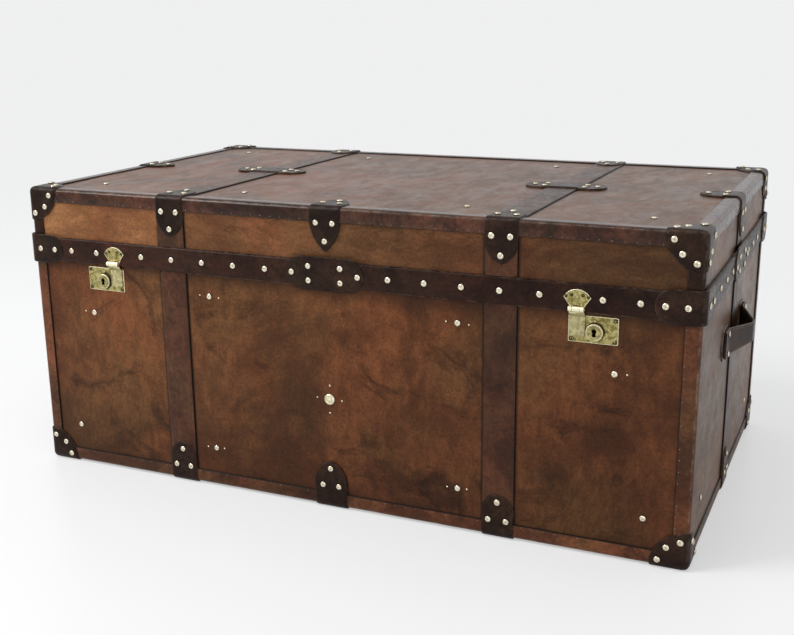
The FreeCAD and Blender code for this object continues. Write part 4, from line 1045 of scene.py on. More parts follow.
base_marks = nail_marks("base_edge_nails", "base_panel_nails")
lid_marks = nail_marks("lid_edge_nails", "lid_panel_nails", "band_nails")
print(len(base_marks), "nails in the base and", len(lid_marks), "in the lid")

# %% [markdown]
# One Geometry Nodes tree sets every head. It presses a ball into a dome with a flat foot and a
# small dimple, stands one on each mark along its way out, and turns, tips and sizes each a
# little differently, as hand-driven nails are. The ball's height is kept as an attribute before
# it is pressed, so that the metal can be dark round the foot, which is tarnish and painted shade,
# and rubbed bright on the crown, save for a painted dark reflection in the dimple of the nails.

# %% Nail head tree
dimple_from, dome_power, any_turn = 0.99, 0.8, 3.1


def named(tree, name):
    """A vector that the points carry."""
    made = add(tree, "GeometryNodeInputNamedAttribute", {"Name": name}, data_type="FLOAT_VECTOR")
    return made.outputs[0]


def between(tree, low, high, seed):
    """A random vector between two vectors."""
    made = add(tree, "FunctionNodeRandomValue", {0: low, 1: high, "Seed": seed}, data_type="FLOAT_VECTOR")
    return made.outputs[0]


def aligned(tree, way, **settings):
    """A rotation that points an axis along a way."""
    return add(tree, "FunctionNodeAlignRotationToVector", way, **settings).outputs[0]


def turned(tree, rotation, angles):
    """A rotation turned further about its own axes."""
    by = add(tree, "FunctionNodeEulerToRotation", {0: angles}).outputs[0]
    made = add(tree, "FunctionNodeRotateRotation", {"Rotation": rotation, "Rotate By": by},
               rotation_space="LOCAL")
    return made.outputs[0]


def planted(tree, result, points, form, rotation, scale, material):
    """Copies of a form on points, made real, smooth and finished, as a tree's result."""
    copies = add(tree, "GeometryNodeInstanceOnPoints",
                 {"Points": points, "Instance": form, "Rotation": rotation, "Scale": scale})
    real = add(tree, "GeometryNodeRealizeInstances", {0: copies.outputs[0]})
    smooth = add(tree, "GeometryNodeSetShadeSmooth", {"Geometry": real.outputs[0]})
    dressed = add(tree, "GeometryNodeSetMaterial", {"Geometry": smooth.outputs[0], "Material": material})
    return send(tree, result, Geometry=dressed.outputs[0])


def nail_head_tree():
    """Domed heads on points that carry a way out, a radius and a height."""
    tree, given, result = group("GeometryNodeTree", "nail_heads",
                                {"Geometry": None, "Sides": 14, "Rings": 6, "Unevenness": 0.06, "Tip": 0.05,
                                 "Dimple": 0.22, "Seed": 4, "Material": None}, "Geometry")
    seed, tip = given["Seed"], given["Tip"]
    ball = add(tree, "GeometryNodeMeshUVSphere", {"Segments": given["Sides"], "Rings": given["Rings"],
                                                 "Radius": 1.0})
    place = add(tree, "ShaderNodeSeparateXYZ", {0: add(tree, "GeometryNodeInputPosition").outputs[0]}).outputs
    lifted = maths(tree, "MAXIMUM", place[2], 0.0)
    struck = product(tree, maths(tree, "GREATER_THAN", lifted, dimple_from), given["Dimple"])
    rounder = maths(tree, "SUBTRACT", maths(tree, "POWER", lifted, dome_power), struck)
    kept = add(tree, "GeometryNodeStoreNamedAttribute", {"Geometry": ball.outputs[0], "Name": "crown",
                                                        "Value": lifted}, data_type="FLOAT", domain="POINT")
    dome = add(tree, "GeometryNodeSetPosition", {"Geometry": kept.outputs[0],
                                                "Position": triple(tree, place[0], place[1], rounder)})
    lean = product(tree, tip, -1.0)
    turn = between(tree, triple(tree, lean, lean, -any_turn), triple(tree, tip, tip, any_turn), seed)
    least = maths(tree, "SUBTRACT", 1.0, given["Unevenness"])
    scale = add(tree, "FunctionNodeRandomValue", {2: least, 3: 1.0, "Seed": seed}, data_type="FLOAT")
    return planted(tree, result, given["Geometry"], dome.outputs[0],
                   turned(tree, aligned(tree, {"Vector": named(tree, "way")}, axis="Z"), turn),
                   scaled(tree, named(tree, "size"), scale.outputs[1]), given["Material"])


head_tree = nail_head_tree()


# %% Setting nails
def grown_piece(name, mesh, tree, values, body, slot, *nodes):
    """A tree's result on a mesh as a plain piece; values are the tree's named inputs."""
    holder = placed(name + "_marks", mesh)
    modifier = holder.modifiers.new("maker", "NODES")
    modifier.node_group = tree
    for item in tree.interface.items_tree:
        if item.item_type == "SOCKET" and item.in_out == "INPUT" and item.name in values:
            modifier[item.identifier] = values[item.name]
    bpy.context.view_layer.update()
    seen = holder.evaluated_get(bpy.context.evaluated_depsgraph_get())
    made = bpy.data.meshes.new_from_object(seen)
    made.name = name
    holder.modifiers.clear()
    bpy.data.objects.remove(holder)
    fitted(placed(name, made), body, slot, *nodes)


def set_nails(name, marks, body, values, *nodes, metal=nail_brass):
    """Nail heads on marks as one piece."""
    mesh = bpy.data.meshes.new(name + "_marks")
    mesh.from_pydata([tuple(mark[0]) for mark in marks], [], [])
    store(mesh, "way", [mark[1] for mark in marks])
    store(mesh, "size", [(mark[2], mark[2], mark[3]) for mark in marks])
    grown_piece(name, mesh, head_tree, dict(values, Material=metal), body, "nail_brass", *nodes)


nail_sink, tack_sink = 0.2 * mm, 0.05 * mm
stud = max(base_marks, key=lambda mark: mark[2])
nail_places = [mark for mark in base_marks if mark is not stud]
set_nails("nails_base", seated(nail_places, "base", nail_sink), "base", {"Seed": 3},
          "base_edge_nails", "base_panel_nails")
set_nails("stud_front", seated([stud], "base", nail_sink), "base",
          {"Sides": 32, "Rings": 16, "Dimple": 0.0, "Seed": 3}, "base_panel_nails", metal=stud_brass)
set_nails("nails_lid", seated(lid_marks, "lid", nail_sink), "lid", {"Seed": 8},
          "lid_edge_nails", "lid_panel_nails", "band_nails")

# %% [markdown]
# Small brass tacks pin the hide beside some of the panel nails, and run in a row just inside
# the free edge of every binding. They use the same tree with fewer sides.

# %% Tacks beside nails
tack_radius, tack_height = 1.7 * mm, 1.0 * mm
by_strap, by_corner = (220, 235), (470, 485)
upper_half, upper_third, low_row = 250, 300, (60, 90)
beside = [(mark, abs(mark[0][0]) * 1000, mark[0][2] * 1000) for mark in base_marks if mark[1][1] < -0.9]


def tacks_round(mark, *offsets):
    """Tacks at offsets along X and Z, in millimetres, from a nail on the front."""
    return [(mark[0] + np.array([x, 0, z]) * mm, mark[1], tack_radius, tack_height) for x, z in offsets]


tacks = tacks_round(stud, (-23, 1), (23, 0), (1, 24), (0, -24))
for mark, x, z in beside:
    if by_strap[0] < x < by_strap[1] and z > upper_third:
        tacks += tacks_round(mark, (-19, 1), (19, -1))
    elif by_strap[0] < x < by_strap[1] and low_row[0] < z < low_row[1]:
        tacks += tacks_round(mark, (-18, 0), (16, 1))
    elif by_corner[0] < x < by_corner[1] and z > upper_half:
        tacks += tacks_round(mark, (19 * math.copysign(1, mark[0][0]), 1))
set_nails("tacks_panel", seated(tacks, "base", tack_sink), "base",
          {"Sides": 10, "Rings": 6, "Dimple": 0.0, "Seed": 5}, metal=stud_brass)
print(len(tacks), "tacks beside nails")

# %% [markdown]
# The rows of tacks are lines on the trunk's form. A second tree divides each line at an even
# spacing and hands the points to the same heads, so a row fits any length of trunk.


# %% Tack row tree
def stepped(tree, lines, step):
    """Points at an even step along the lines of a mesh."""
    curves = add(tree, "GeometryNodeMeshToCurve", {0: lines}).outputs[0]
    even = add(tree, "GeometryNodeResampleCurve", {"Curve": curves, "Length": step}, mode="LENGTH")
    return add(tree, "GeometryNodeCurveToPoints", {"Curve": even.outputs[0]}, mode="EVALUATED").outputs


def tack_row_tree():
    """Evenly spaced points along lines that carry a way out and a size, with heads on them."""
    tree, given, result = group("GeometryNodeTree", "tack_rows",
                                {"Geometry": None, "Spacing": 0.018, "Scatter": 0.0006, "Seed": 6,
                                 "Material": None}, "Geometry")
    far, way = given["Scatter"], named(tree, "way")
    stray = between(tree, triple(tree, product(tree, far, -1.0)), triple(tree, far), given["Seed"])
    along = add(tree, "ShaderNodeVectorMath", {0: stray, 1: way}, operation="DOT_PRODUCT").outputs["Value"]
    strewn = add(tree, "GeometryNodeSetPosition",
                 {"Geometry": stepped(tree, given["Geometry"], given["Spacing"])[0],
                  "Offset": vectors(tree, "SUBTRACT", stray, scaled(tree, way, along))})
    heads = add(tree, "GeometryNodeGroup", node_tree=head_tree)
    send(tree, heads.inputs, Geometry=strewn.outputs[0], Material=given["Material"], Seed=given["Seed"])
    heads.inputs["Sides"].default_value = 8
    heads.inputs["Rings"].default_value = 4
    return send(tree, result, Geometry=heads.outputs[0])


row_tree = tack_row_tree()


# %% Rows along the bindings
def line_mesh(name, lines, radius, height):
    """Lines as a mesh of edges; each is (start, finish, way out)."""
    spots, ways = [], []
    for first, last, way in lines:
        spots += [first, last]
        ways += [way, way]
    mesh = bpy.data.meshes.new(name)
    mesh.from_pydata([tuple(spot) for spot in spots], [(n, n + 1) for n in range(0, len(spots), 2)], [])
    store(mesh, "way", ways)
    store(mesh, "size", [(radius, radius, height)] * len(spots))
    return mesh


def rows_of(lines):
    """Each line with its mirror images, without doubles."""
    made = {}
    for line in lines:
        for x in (1, -1):
            for y in (1, -1):
                one = [np.array(v) * np.array([x, y, 1]) for v in line]
                made[tuple(np.round(sorted((tuple(one[0]), tuple(one[1]))), 5).ravel())] = one
    return list(made.values())


row_inset, row_short, row_clear = 3.6 * mm, 36 * mm, 12 * mm
row_radius, row_height = 0.95 * mm, 0.6 * mm
row_x, row_y = run_x - row_short, run_y - row_short
row_low, row_high = foot_z + cap_reach + 6 * mm, rim_z - row_clear
inner = binding - row_inset


def level_rows(z):
    """A row along the front and one along the right end at a height."""
    return [((-row_x, -half_y, z), (row_x, -half_y, z), (0, -1, 0)),
            ((half_x, -row_y, z), (half_x, row_y, z), (1, 0, 0))]


post_rows = [((half_x - inner, -half_y, row_low), (half_x - inner, -half_y, row_high), (0, -1, 0)),
             ((half_x, inner - half_y, row_low), (half_x, inner - half_y, row_high), (1, 0, 0))]
for body, lines in (("base", level_rows(foot_z + inner) + post_rows), ("lid", level_rows(top_z - inner))):
    mesh = line_mesh("rows_" + body, rows_of(lines), row_radius, row_height)
    grown_piece("tack_rows_" + body, mesh, row_tree, {"Material": tack_brass, "Seed": 6}, body, "nail_brass")

# %% [markdown]
# ## Turned brass
# Barrels, bosses and pins are lathe work: a profile of distances along an axis and radii, spun
# round it. A profile that starts and ends on the axis closes by itself, and one that returns to
# its start makes a ring.


# %% Lathe
def closed_form(points, faces, weld=0.0):
    """A form from points and faces, with doubles welded and every face turned outwards."""
    shape = bmesh.new()
    corners = [shape.verts.new(p) for p in points]
    for face in faces:
        shape.faces.new([corners[n] for n in face])
    if weld:
        bmesh.ops.remove_doubles(shape, verts=shape.verts, dist=weld)
    bmesh.ops.recalc_face_normals(shape, faces=shape.faces)
    shape.verts.index_update()
    points = np.array([tuple(v.co) for v in shape.verts])
    faces = [[v.index for v in face.verts] for face in shape.faces]
    shape.free()
    return points, faces


def between_rings(a, b, count):
    """Faces between two rings of as many points, from their first points' numbers."""
    return [(a + n, a + (n + 1) % count, b + (n + 1) % count, b + n) for n in range(count)]


def end_faces(rings, count):
    """Faces that close the first and the last of some rings."""
    return [tuple(reversed(range(count))), tuple(range((rings - 1) * count, rings * count))]


def spun(profile, centre, axis, closed=False, sides=40, rim=1.0):
    """A turned solid: (along, radius) pairs in mm from a centre, along an axis."""
    axis = Vector(axis)
    side = axis.orthogonal().normalized()
    cross = axis.cross(side)
    points, faces = [], []
    for along, radius in profile:
        for n in range(sides):
            turn = 2 * math.pi * n / sides
            reach = side * math.cos(turn) + cross * math.sin(turn)
            points.append(tuple(Vector(centre) + axis * along * mm + reach * max(radius, 0.001) * mm))
    count = len(profile)
    for ring in range(count if closed else count - 1):
        faces += between_rings(ring * sides, (ring + 1) % count * sides, sides)
    if not closed:
        faces += end_faces(count, sides)
    points, faces = closed_form(points, faces, 0.004 * mm)
    return points, faces, np.full(len(points), rim), np.zeros(len(points))


def bar(radius, length, centre, axis, ease=0.5):
    """A round bar with eased ends, centred on a place."""
    half = length / 2
    profile = [(-half, 0), (-half, radius - ease), (ease * 0.3 - half, radius - 0.3 * ease),
               (ease - half, radius)]
    # A rim of 0 gives the whole bar the pale tone of rubbed brass, which is partly a painted highlight.
    return spun(profile + [(-a, r) for a, r in reversed(profile)], centre, axis, rim=0.0)


# %% [markdown]
# ## Locks
# Each lock has a plate let in over its case, pinned at four corners, with a round boss that
# guards the plug. The plate is cut as a sheet, so that it keeps its bright rim, which is worn brass
# and partly a painted highlight, with a slot for the hasp's staple. The plug turns, so it is a piece
# of its own with a real keyhole.

# %% Lock plates
plug_low, plug_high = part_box("lock_plug_right")
flap_low, flap_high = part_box("hasp_flap_right")
boss_x, boss_z = (plug_low.x + plug_high.x) / 2, (plug_low.z + plug_high.z) / 2
plug_radius, plug_rise = (plug_high.x - plug_low.x) / 2, 10 * mm
plate_low, plate_high, plate_roll = hide_rise + glue, 3.5 * mm, 0.9 * mm
plate_half, plate_tall = 38 * mm, 42 * mm
lock_x = lock_high.x - plate_half
hasp_x = (flap_low.x + flap_high.x) / 2
slot_half, slot_low, slot_high = 4.6 * mm, 362.2 * mm, 370.3 * mm
outward = (0, -1, 0)


def circle(radius, x=0.0, y=0.0, sides=24):
    """Points round a circle, counter-clockwise."""
    return [(x + radius * math.cos(2 * math.pi * n / sides), y + radius * math.sin(2 * math.pi * n / sides))
            for n in range(sides)]


def round_rectangle(x0, x1, y0, y1, radius):
    """A rectangle with round corners."""
    made = []
    for x, y, start in ((x1, y0, -90), (x1, y1, 0), (x0, y1, 90), (x0, y0, 180)):
        cx, cy = x - math.copysign(radius, x - x0 - 0.1 * mm), y - math.copysign(radius, y - y0 - 0.1 * mm)
        for n in range(6):
            turn = math.radians(start + 18 * n)
            made.append((cx + radius * math.cos(turn), cy + radius * math.sin(turn)))
    return made


plate_bottom, plate_top = lock_low.z, lock_low.z + plate_tall
pins = [(lock_x + x * 33.2 * mm, (plate_bottom + plate_top) / 2 + z * 16.2 * mm)
        for x in (1, -1) for z in (1, -1)]
staple_slot = round_rectangle(hasp_x - slot_half, hasp_x + slot_half, slot_low, slot_high, 1 * mm)
plate_outline = round_rectangle(lock_x - plate_half, lock_x + plate_half, plate_bottom, plate_top, 2.4 * mm)
pin_holes = [circle(2.5 * mm, *pin, 16) for pin in pins]
plate_cut = cut_sheet(plate_outline, 2.2 * mm, plate_roll, rim=plate_outline,
                      holes=[staple_slot] + pin_holes)
boss_profile = [(0, 14.6), (0.8, 14.5), (1.3, 13.9), (5.0, 13.6), (5.9, 13.2), (6.4, 12.3), (6.5, 11.4),
                (6.45, 9.9), (6.1, 9.5), (6.1, 9.1), (6.45, 8.7), (6.5, 8.0), (6.3, 7.65), (0, 7.6)]
nub_profile = [(0, 0), (0, 2.9), (0.9, 2.8), (1.9, 2.3), (2.5, 1.4), (2.7, 0)]
brass_face = -half_y + trim_rise - plate_high


def grimy(made, holes, hidden=()):
    """A front skin whose fold attribute marks the rims of its holes and what is in hidden outlines."""
    points, faces, rims, _ = made
    flat = np.stack([abs(points[:, 0]), points[:, 2]], 1)
    depths = np.array([depth_inside(flat, np.array(hole)) for hole in [*holes, *hidden]])
    near = (abs(depths[:len(holes)]) < 0.3 * mm).any(0) | (depths[len(holes):] > 0).any(0)
    return points, faces, rims, near.astype(float)


def boss(side):
    """The ring round a plug: pale on its shoulder, as rubbed brass and painted highlight, dark round its
    wall, as painted shade and dirt, and dirty in its groove.
    """
    points, faces, _, _ = spun(boss_profile, (side * boss_x, brass_face, boss_z), outward, closed=True)
    radius = np.hypot(points[:, 0] - side * boss_x, points[:, 2] - boss_z)
    height = brass_face - points[:, 1]
    rims = np.where((height > 5.5 * mm) & (radius > 12 * mm), 0.85 * mm, 1.3 * mm)
    # Painted shade and dirt: the outer wall of the boss is darkened all round.
    wall = (height < 5.3 * mm) & (radius > 13 * mm)
    groove = (radius > 9 * mm) & (radius < 9.6 * mm)
    return points, faces, rims, np.where(wall, 0.85, 0.0) + np.where(groove, 0.7, 0.0)


def brass_piece(name, body, parts, node):
    """A piece of aged brass."""
    make_piece(name, body, "aged_brass", aged_brass, parts, node)


def pins_on_front(name, body, places, face, radius, height, seed):
    """Small pins at (x, z) places on the front."""
    marks = [(np.array([x, face + 0.5 * mm, z]), np.array(outward), radius, height) for x, z in places]
    set_nails(name, marks, body, {"Sides": 12, "Seed": seed, "Unevenness": 0.1}, metal=pin_brass)


hands = (("left", -1), ("right", 1))
for name, side in hands:
    plate = skin([(plate_cut, mirrored(front_face, side, 1, 1))], plate_low, plate_high, plate_roll,
                 uneven=0.05 * mm, size=0.02)
    parts = [grimy(plate, [staple_slot] + pin_holes, [circle(plug_radius, boss_x, boss_z)]), boss(side),
             spun(nub_profile, (side * boss_x, brass_face, boss_z + 16.4 * mm), outward, sides=20)]
    brass_piece("lock_plate_" + name, "base", parts, "lock_plates")
pins_on_front("lock_pins", "base", [(side * x, z) for x, z in pins for side in (1, -1)],
              brass_face, 1.7 * mm, 0.9 * mm, 2)

# %% Plugs and keyholes
bow, step, foot = 3.4, 4.6, 5.8
bow_turns = np.linspace(-0.9, math.pi + 0.9, 17)
keyhole = [(bow * math.cos(a) * mm, 2.0 * mm + bow * math.sin(a) * mm) for a in bow_turns]
keyhole += [(-2.7 * mm, -step * mm), (-1.8 * mm, -foot * mm), (1.8 * mm, -foot * mm), (2.7 * mm, -step * mm)]
points, depth, faces = cut_sheet(circle(plug_radius, sides=40), 1.0 * mm, 0.5 * mm, holes=[keyhole])
plug_cut = (points, depth + 1.2 * mm * (depth > 0), faces)
set_keyhole = [(x + boss_x, y + boss_z) for x, y in keyhole]
for name, side in hands:
    put = mirrored(lambda p: front_face(p + np.array([boss_x, boss_z])), side, 1, 1)
    plug = skin([(plug_cut, put)], 4.9 * mm, plug_rise, 0.5 * mm, lip=0.85, uneven=0)
    brass_piece("plug_" + name, "plug_" + name, [grimy(plug, [set_keyhole])], "lock_plug_" + name)

# %% [markdown]
# ## Hasps
# A fan-shaped plate is pinned to the band. Two of its knuckles and one of the flap's make the
# barrel of a small hinge. The flap itself keeps its CAD form, with its flats joined and its
# edges eased, because its staple has to swing through the plate's slot.


# %% Eased copies
def eased_copy(node, body, width, bright_above=1.0):
    """A CAD node's form with its edges eased by a bevel, pale above a height, as rubbed brass and painted
    highlight.
    """
    shape = bmesh.new()
    shape.from_mesh(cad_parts[node].data)
    bmesh.ops.remove_doubles(shape, verts=shape.verts, dist=0.003 * mm)
    bmesh.ops.dissolve_limit(shape, angle_limit=math.radians(2), verts=shape.verts, edges=shape.edges)
    mesh = bpy.data.meshes.new(node + "_eased")
    shape.to_mesh(mesh)
    shape.free()
    store(mesh, "rim", [0.0 if v.co.z > bright_above else 1.2 * mm for v in mesh.vertices])
    smoothed(mesh, 35, aged_brass)
    piece = placed(node + "_eased", mesh)
    bevel = piece.modifiers.new("eased edges", "BEVEL")
    bevel.width = width
    bevel.segments = 2
    bevel.limit_method = "ANGLE"
    bevel.angle_limit = math.radians(35)
    fitted(piece, body, "aged_brass", node)


for side, _ in hands:
    eased_copy("hasp_flap_" + side, "hasp_" + side, 0.35 * mm, flap_high.z - 9.1 * mm)

# %% Fan plates
hasp_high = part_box("hasp_plates")[1]
knuckle_radius, knuckle_length, knuckle_x = 4.5, 6, 9 * mm
hinge_line = (flap_low.y + 4.5 * mm, flap_high.z - 4.5 * mm)
fan_foot, fan_top = hinge_line[1] + 4.5 * mm, hasp_high.z
fan_rise, fan_half = fan_top - fan_foot, hasp_high.x - hasp_x
crown_half = 0.84 * fan_half
ear_z, crown_z = fan_foot + 0.5 * fan_rise, fan_foot + 0.68 * fan_rise
crown_radius = (crown_half ** 2 + (fan_top - crown_z) ** 2) / (2 * (fan_top - crown_z))
sweep = math.asin(crown_half / crown_radius)
fan_arc = [(crown_radius * math.sin(a), fan_top - crown_radius + crown_radius * math.cos(a))
           for a in np.linspace(sweep, -sweep, 15)]
neck, middle = 12 * mm, 6 * mm
fan = [(-neck, hinge_line[1]), (-middle, hinge_line[1]), (-middle, fan_foot + 0.4 * mm),
       (middle, fan_foot + 0.4 * mm), (middle, hinge_line[1]), (neck, hinge_line[1]), (neck, fan_foot),
       (fan_half, ear_z), *fan_arc, (-fan_half, ear_z), (-neck, fan_foot)]
fan_pins = [(x * mm, ear_z + z * mm) for x, z in ((-17, 1.2), (17, 1.2), (-8.5, 3.5), (8.5, 3.5))]
pin_hole, fan_roll = 1.9 * mm, 0.8 * mm
fan_cut = cut_sheet(fan, 1.6 * mm, fan_roll, holes=[circle(pin_hole, *pin, 14) for pin in fan_pins])
fan_holes = [circle(pin_hole, hasp_x + x, z, 14) for x, z in fan_pins]
fan_low, fan_high = 8.3 * mm, 9.5 * mm
for name, side in hands:
    place = side * hasp_x
    plate = skin([(fan_cut, shifted(front_face, place))], fan_low, fan_high, fan_roll,
                 uneven=0.06 * mm, size=0.012)
    parts = [grimy(plate, fan_holes)]
    for way in (-1, 1):
        centre = (place + way * knuckle_x, *hinge_line)
        parts.append(bar(knuckle_radius, knuckle_length, centre, (1, 0, 0)))
    parts.append(bar(1.5, 24.6, (place, *hinge_line), (1, 0, 0), 0.3))
    brass_piece("fan_plate_" + name, "lid", parts, "hasp_plates")
pins_on_front("fan_pins", "lid", [(side * hasp_x + x, z) for x, z in fan_pins for side in (1, -1)],
              -half_y + trim_rise - fan_high, 1.45 * mm, 0.8 * mm, 9)

# %% [markdown]
# ## Handles
# A handle is a thick strap, folded round a core and stitched, whose two feet are nailed flat
# over pointed chapes. Its section is a rounded bar, swept along straight runs and arcs, and it
# narrows towards the grip.

# %% Handle path
grip_low, grip_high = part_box("handle_right")
strap_half_thick = 2.5 * mm
foot_x, grip_x = grip_low.x + strap_half_thick, grip_high.x - strap_half_thick
tab_end, root_place, knee_place = grip_high.y, 80 * mm, 9 * mm
handle_z = (grip_high.z + grip_low.z) / 2
root_half, grip_half = (grip_high.z - grip_low.z) / 2, 17 * mm


def bent_path(points, radii, step):
    """Points along straight runs with an arc at each inner corner."""
    made = [Vector(points[0])]
    for before, corner, after, radius in zip(points, points[1:], points[2:], radii):
        corner = Vector(corner)
        back = (Vector(before) - corner).normalized()
        ahead = (Vector(after) - corner).normalized()
        half = back.angle(ahead) / 2
        centre = corner + (back + ahead).normalized() * radius / math.sin(half)
        first = corner + back * radius / math.tan(half) - centre
        last = corner + ahead * radius / math.tan(half) - centre
        for n in range(9):
            made.append(centre + first.slerp(last, n / 8).normalized() * radius)
    made.append(Vector(points[-1]))
    filled = [made[0]]
    for point in made[1:]:
        gap = point - filled[-1]
        count = max(1, round(gap.length / step))
        start = filled[-1].copy()
        filled += [start + gap * (n + 1) / count for n in range(count)]
    return filled


corners = [(foot_x, -tab_end), (foot_x, -root_place), (grip_x, -knee_place)]
corners += [(x, -y) for x, y in reversed(corners)]
path = bent_path(corners, (12 * mm, 14 * mm, 14 * mm, 12 * mm), 3 * mm)
print("handle path", len(path), "points, reach", round(grip_x * 1000, 1), "mm")


# %% Handle strap
def half_width(y):
    """Half the strap's width at a place along it."""
    share = min(max((abs(y) - knee_place) / (root_place - knee_place), 0), 1)
    return grip_half + (root_half - grip_half) * share

def strap_section(half, thick):
    """Points round a strap's section with round corners, as (out, up) pairs."""
    radius = 1.9 * mm
    made = []
    for out, up, start in ((1, 1, 0), (-1, 1, 90), (-1, -1, 180), (1, -1, 270)):
        for n in range(5):
            turn = math.radians(start + 22.5 * n)
            made.append((out * (thick - radius) + radius * math.cos(turn),
                         up * (half - radius) + radius * math.sin(turn)))
        following = (-out if up == out else out, up if up == out else -up)
        turn = math.radians(start + 90)
        first = made[-1]
        last = (following[0] * (thick - radius) + radius * math.cos(turn),
                following[1] * (half - radius) + radius * math.sin(turn))
        for share in (0.25, 0.5, 0.75):
            made.append((first[0] + (last[0] - first[0]) * share, first[1] + (last[1] - first[1]) * share))
    return made


def path_way(n):
    """The way along the path at one of its points."""
    return (path[min(n + 1, len(path) - 1)] - path[max(n - 1, 0)]).normalized()


def handle_skin(side):
    """The swept strap of one handle."""
    points, rims, faces = [], [], []
    count = len(strap_section(root_half, strap_half_thick))
    for n, point in enumerate(path):
        along = path_way(n)
        out = Vector((along.y, -along.x))
        ease = 0.7 if n in (0, len(path) - 1) else 1.0
        half = half_width(point.y)
        for a, b in strap_section(half - (1 - ease) * 2 * mm, strap_half_thick * ease):
            points.append((side * (point.x + out.x * a), point.y + out.y * a, handle_z + b))
            rims.append(half - abs(b))
    for n in range(len(path) - 1):
        faces += between_rings(n * count, (n + 1) * count, count)
    points, faces = closed_form(points, faces + end_faces(len(path), count))
    return points, faces, np.array(rims), np.zeros(len(points))


for name, side in hands:
    make_piece("grip_" + name, "base", "dark_leather", handle_leather, [handle_skin(side)], "handle_" + name)

# %% Chapes
chape_in, chape_out, chape_half, chape_roll = 70 * mm, 132 * mm, 27 * mm, 1.4 * mm
shoulder = chape_out - 0.32 * (chape_out - chape_in)
chape = [(chape_in, -chape_half), (shoulder, -chape_half), (chape_out, 0), (shoulder, chape_half),
         (chape_in, chape_half)]
chape_cut = cut_sheet([(y, handle_z + z) for y, z in chape], 4 * mm, chape_roll)
chapes = [skin([(chape_cut, mirrored(end_face, x, y, 1))], hide_rise + glue, trim_rise, chape_roll)
          for x in (1, -1) for y in (1, -1)]
make_piece("chapes", "base", "dark_leather", handle_leather, chapes, "handle_chapes")
set_nails("nails_handle", nail_marks("handle_nails"), "base", {"Seed": 12}, "handle_nails")

# %% [markdown]
# ## Saddle stitches
# The strap's two edges are sewn through. A tree walks a line along each edge and lays a short
# slanted stitch at every step, half sunk in the leather.


# %% Stitch tree
def stitch_tree():
    """Short stitches along lines that carry a way out."""
    tree, given, result = group("GeometryNodeTree", "saddle_stitches",
                                {"Geometry": None, "Step": 0.005, "Length": 0.0036, "Thread": 0.0005,
                                 "Slant": 0.25, "Material": None}, "Geometry")
    points = stepped(tree, given["Geometry"], given["Step"])
    lying = aligned(tree, {"Vector": points["Tangent"]}, axis="X")
    stood = aligned(tree, {"Rotation": lying, "Vector": named(tree, "way")}, axis="Z", pivot_axis="X")
    bead = add(tree, "GeometryNodeMeshUVSphere", {"Segments": 6, "Rings": 5, "Radius": 1.0}).outputs[0]
    size = triple(tree, product(tree, given["Length"], 0.5), given["Thread"], given["Thread"])
    return planted(tree, result, points[0], bead, turned(tree, stood, triple(tree, 0.0, 0.0, given["Slant"])),
                   size, given["Material"])


sewing = stitch_tree()
stitch_inset, sewn_short = 3.6 * mm, 10 * mm
spots, ways, links = [], [], []
for side in (1, -1):
    for edge in (1, -1):
        for face in (1, -1):
            run = [n for n, point in enumerate(path) if face > 0 or abs(point.y) < root_place - sewn_short]
            for n in run:
                along = path_way(n)
                out = Vector((along.y, -along.x)) * face
                point = path[n] + out * strap_half_thick
                if n != run[0]:
                    links.append((len(spots) - 1, len(spots)))
                spots.append((side * point.x, point.y,
                              handle_z + edge * (half_width(point.y) - stitch_inset)))
                ways.append((side * out.x, out.y, 0))
mesh = bpy.data.meshes.new("stitch_lines")
mesh.from_pydata(spots, links, [])
store(mesh, "way", ways)
grown_piece("stitches_handles", mesh, sewing, {"Material": linen_thread}, "base", "strap_leather")

# %% [markdown]
# ## Hinges, stays and the inside
# The hinges at the back and the lid's slotted stays keep their CAD forms with eased edges. The
# boards and the cloth-faced card that lines them stay as they are and only get their finishes.

# %% Hinges and stays
for node, body in (("hinge_base_leaves", "base"), ("hinge_lid_leaves", "lid"), ("stay_base_studs", "base"),
                   ("stay_lid_studs", "lid"), ("stay_arm_left", "stay_left"),
                   ("stay_arm_right", "stay_right")):
    eased_copy(node, body, 0.3 * mm)
hinge_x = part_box("hinge_base_leaves")[1].x - 30 * mm
leaf_face = board_y + hide_rise + 1.9 * mm
screws = [(np.array([side * hinge_x + x * mm, leaf_face, opening_z - z * mm]), np.array([0, 1, 0]),
           2.6 * mm, 0.7 * mm) for side in (1, -1) for x, z in ((-22, 24), (0, 28), (22, 24))]
set_nails("hinge_screws", screws, "base", {"Sides": 12, "Seed": 7, "Tip": 0.0})

# %% Carried-over nodes
carried = ((pine_board, "base_front_board base_back_board base_end_boards base_floor_board"),
           (pine_board, "lid_front_board lid_back_board lid_end_boards lid_top_board"),
           (lining_cloth, "base_lining base_valance lid_lining"), (aged_brass, "lock_cases"))
for finish, nodes in carried:
    for node in nodes.split():
        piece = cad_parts[node]
        piece.data.materials.clear()
        piece.data.materials.append(finish)
        print(node, "keeps its CAD form")

# %% [markdown]
# ## Light, floor and backdrop
# Soft studio light: a large lamp above and to the left, a weaker one in front, a long narrow one
# over the front's left half, and a pale world.
# The floor is one plain sheet; the world shows as a near-white wall to the camera and in
# reflections, and lights the object more gently than it looks.


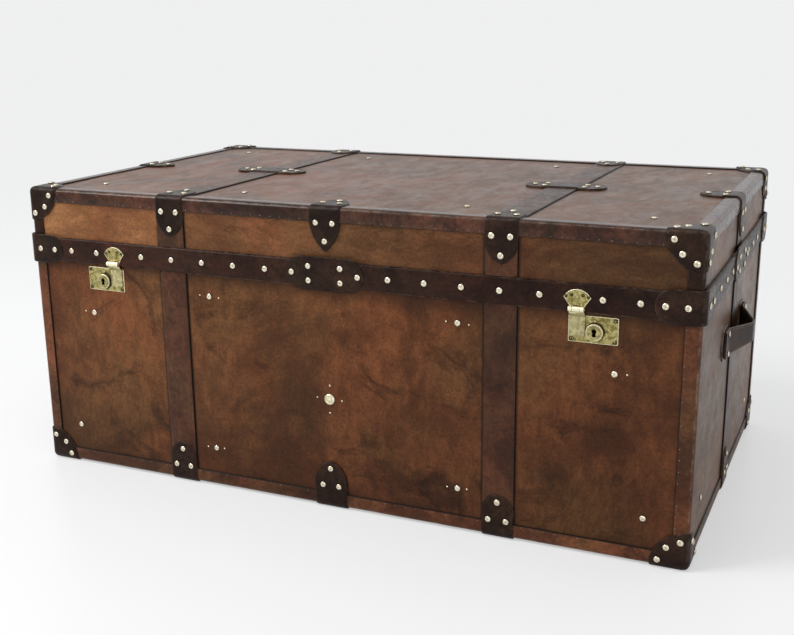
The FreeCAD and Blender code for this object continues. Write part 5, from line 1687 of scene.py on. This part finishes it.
# %% Light
def lamp(name, place, target, size, power, width=None):
    """An area lamp at a place, facing a target; its size lies level and its width upright."""
    data = bpy.data.lights.new(name, "AREA")
    data.shape = "RECTANGLE"
    data.size = size
    data.size_y = width or size
    data.energy = power
    made = placed(name, data)
    made.location = place
    made.rotation_mode = "QUATERNION"
    made.rotation_quaternion = (Vector(target) - Vector(place)).to_track_quat("-Z", "Y")


lamp("key", (-2.4, -2.2, 3.0), (0, 0, 0.3), 1.3, 68)
lamp("fill", (2.2, -3.2, 1.6), (0, 0, 0.3), 2.4, 20)
lamp("strip", (-1.1, -1.06, 2.9), (-1.1, -0.3, 0.4), 2.6, 17, 0.3)

world = bpy.data.worlds.new("room")
world.use_nodes = True
bpy.context.scene.world = world
rays = add(world.node_tree, "ShaderNodeLightPath")
seen = maths(world.node_tree, "MAXIMUM", rays.outputs["Is Camera Ray"], rays.outputs["Is Glossy Ray"])
strength = maths(world.node_tree, "MULTIPLY_ADD", seen, 0.25, 0.75)
backdrop = world.node_tree.nodes["Background"].inputs
wall_tone = (0.865, 0.868, 0.872, 1)
backdrop["Color"].default_value = wall_tone
world.node_tree.links.new(strength, backdrop["Strength"])

# %% Floor
floor_near, floor_far, floor_size = 1.2, 5.0, 40
floor_material, tree, inputs = new_material("pale_floor")
inputs["Base Color"].default_value = (0.93, 0.935, 0.94, 1)
inputs["Roughness"].default_value = 0.3
inputs["Specular IOR Level"].default_value = 0.3
far = add(tree, "ShaderNodeVectorMath", {0: here(tree)}, operation="LENGTH").outputs["Value"]
lift = span(tree, far, floor_near, floor_far, 1.1, 1.0)
glow = add(tree, "ShaderNodeEmission", {"Color": wall_tone, "Strength": lift})
ray = add(tree, "ShaderNodeLightPath").outputs["Is Camera Ray"]
share = product(tree, span(tree, far, floor_near, floor_far, 0.45, 1.0), ray)
blended = add(tree, "ShaderNodeMixShader", {0: share, 1: tree.nodes["Principled BSDF"].outputs[0],
                                           2: glow.outputs[0]})
tree.links.new(blended.outputs[0], tree.nodes["Material Output"].inputs["Surface"])
bpy.ops.mesh.primitive_plane_add(size=floor_size)
floor = bpy.context.object
floor.name = "floor"
floor.data.materials.append(floor_material)
print("floor and lamps ready")

# %% [markdown]
# ## Finish
# The view transform is Standard, so a colour renders as it is written.

# %% Finish
bpy.context.scene.view_settings.view_transform = "Standard"
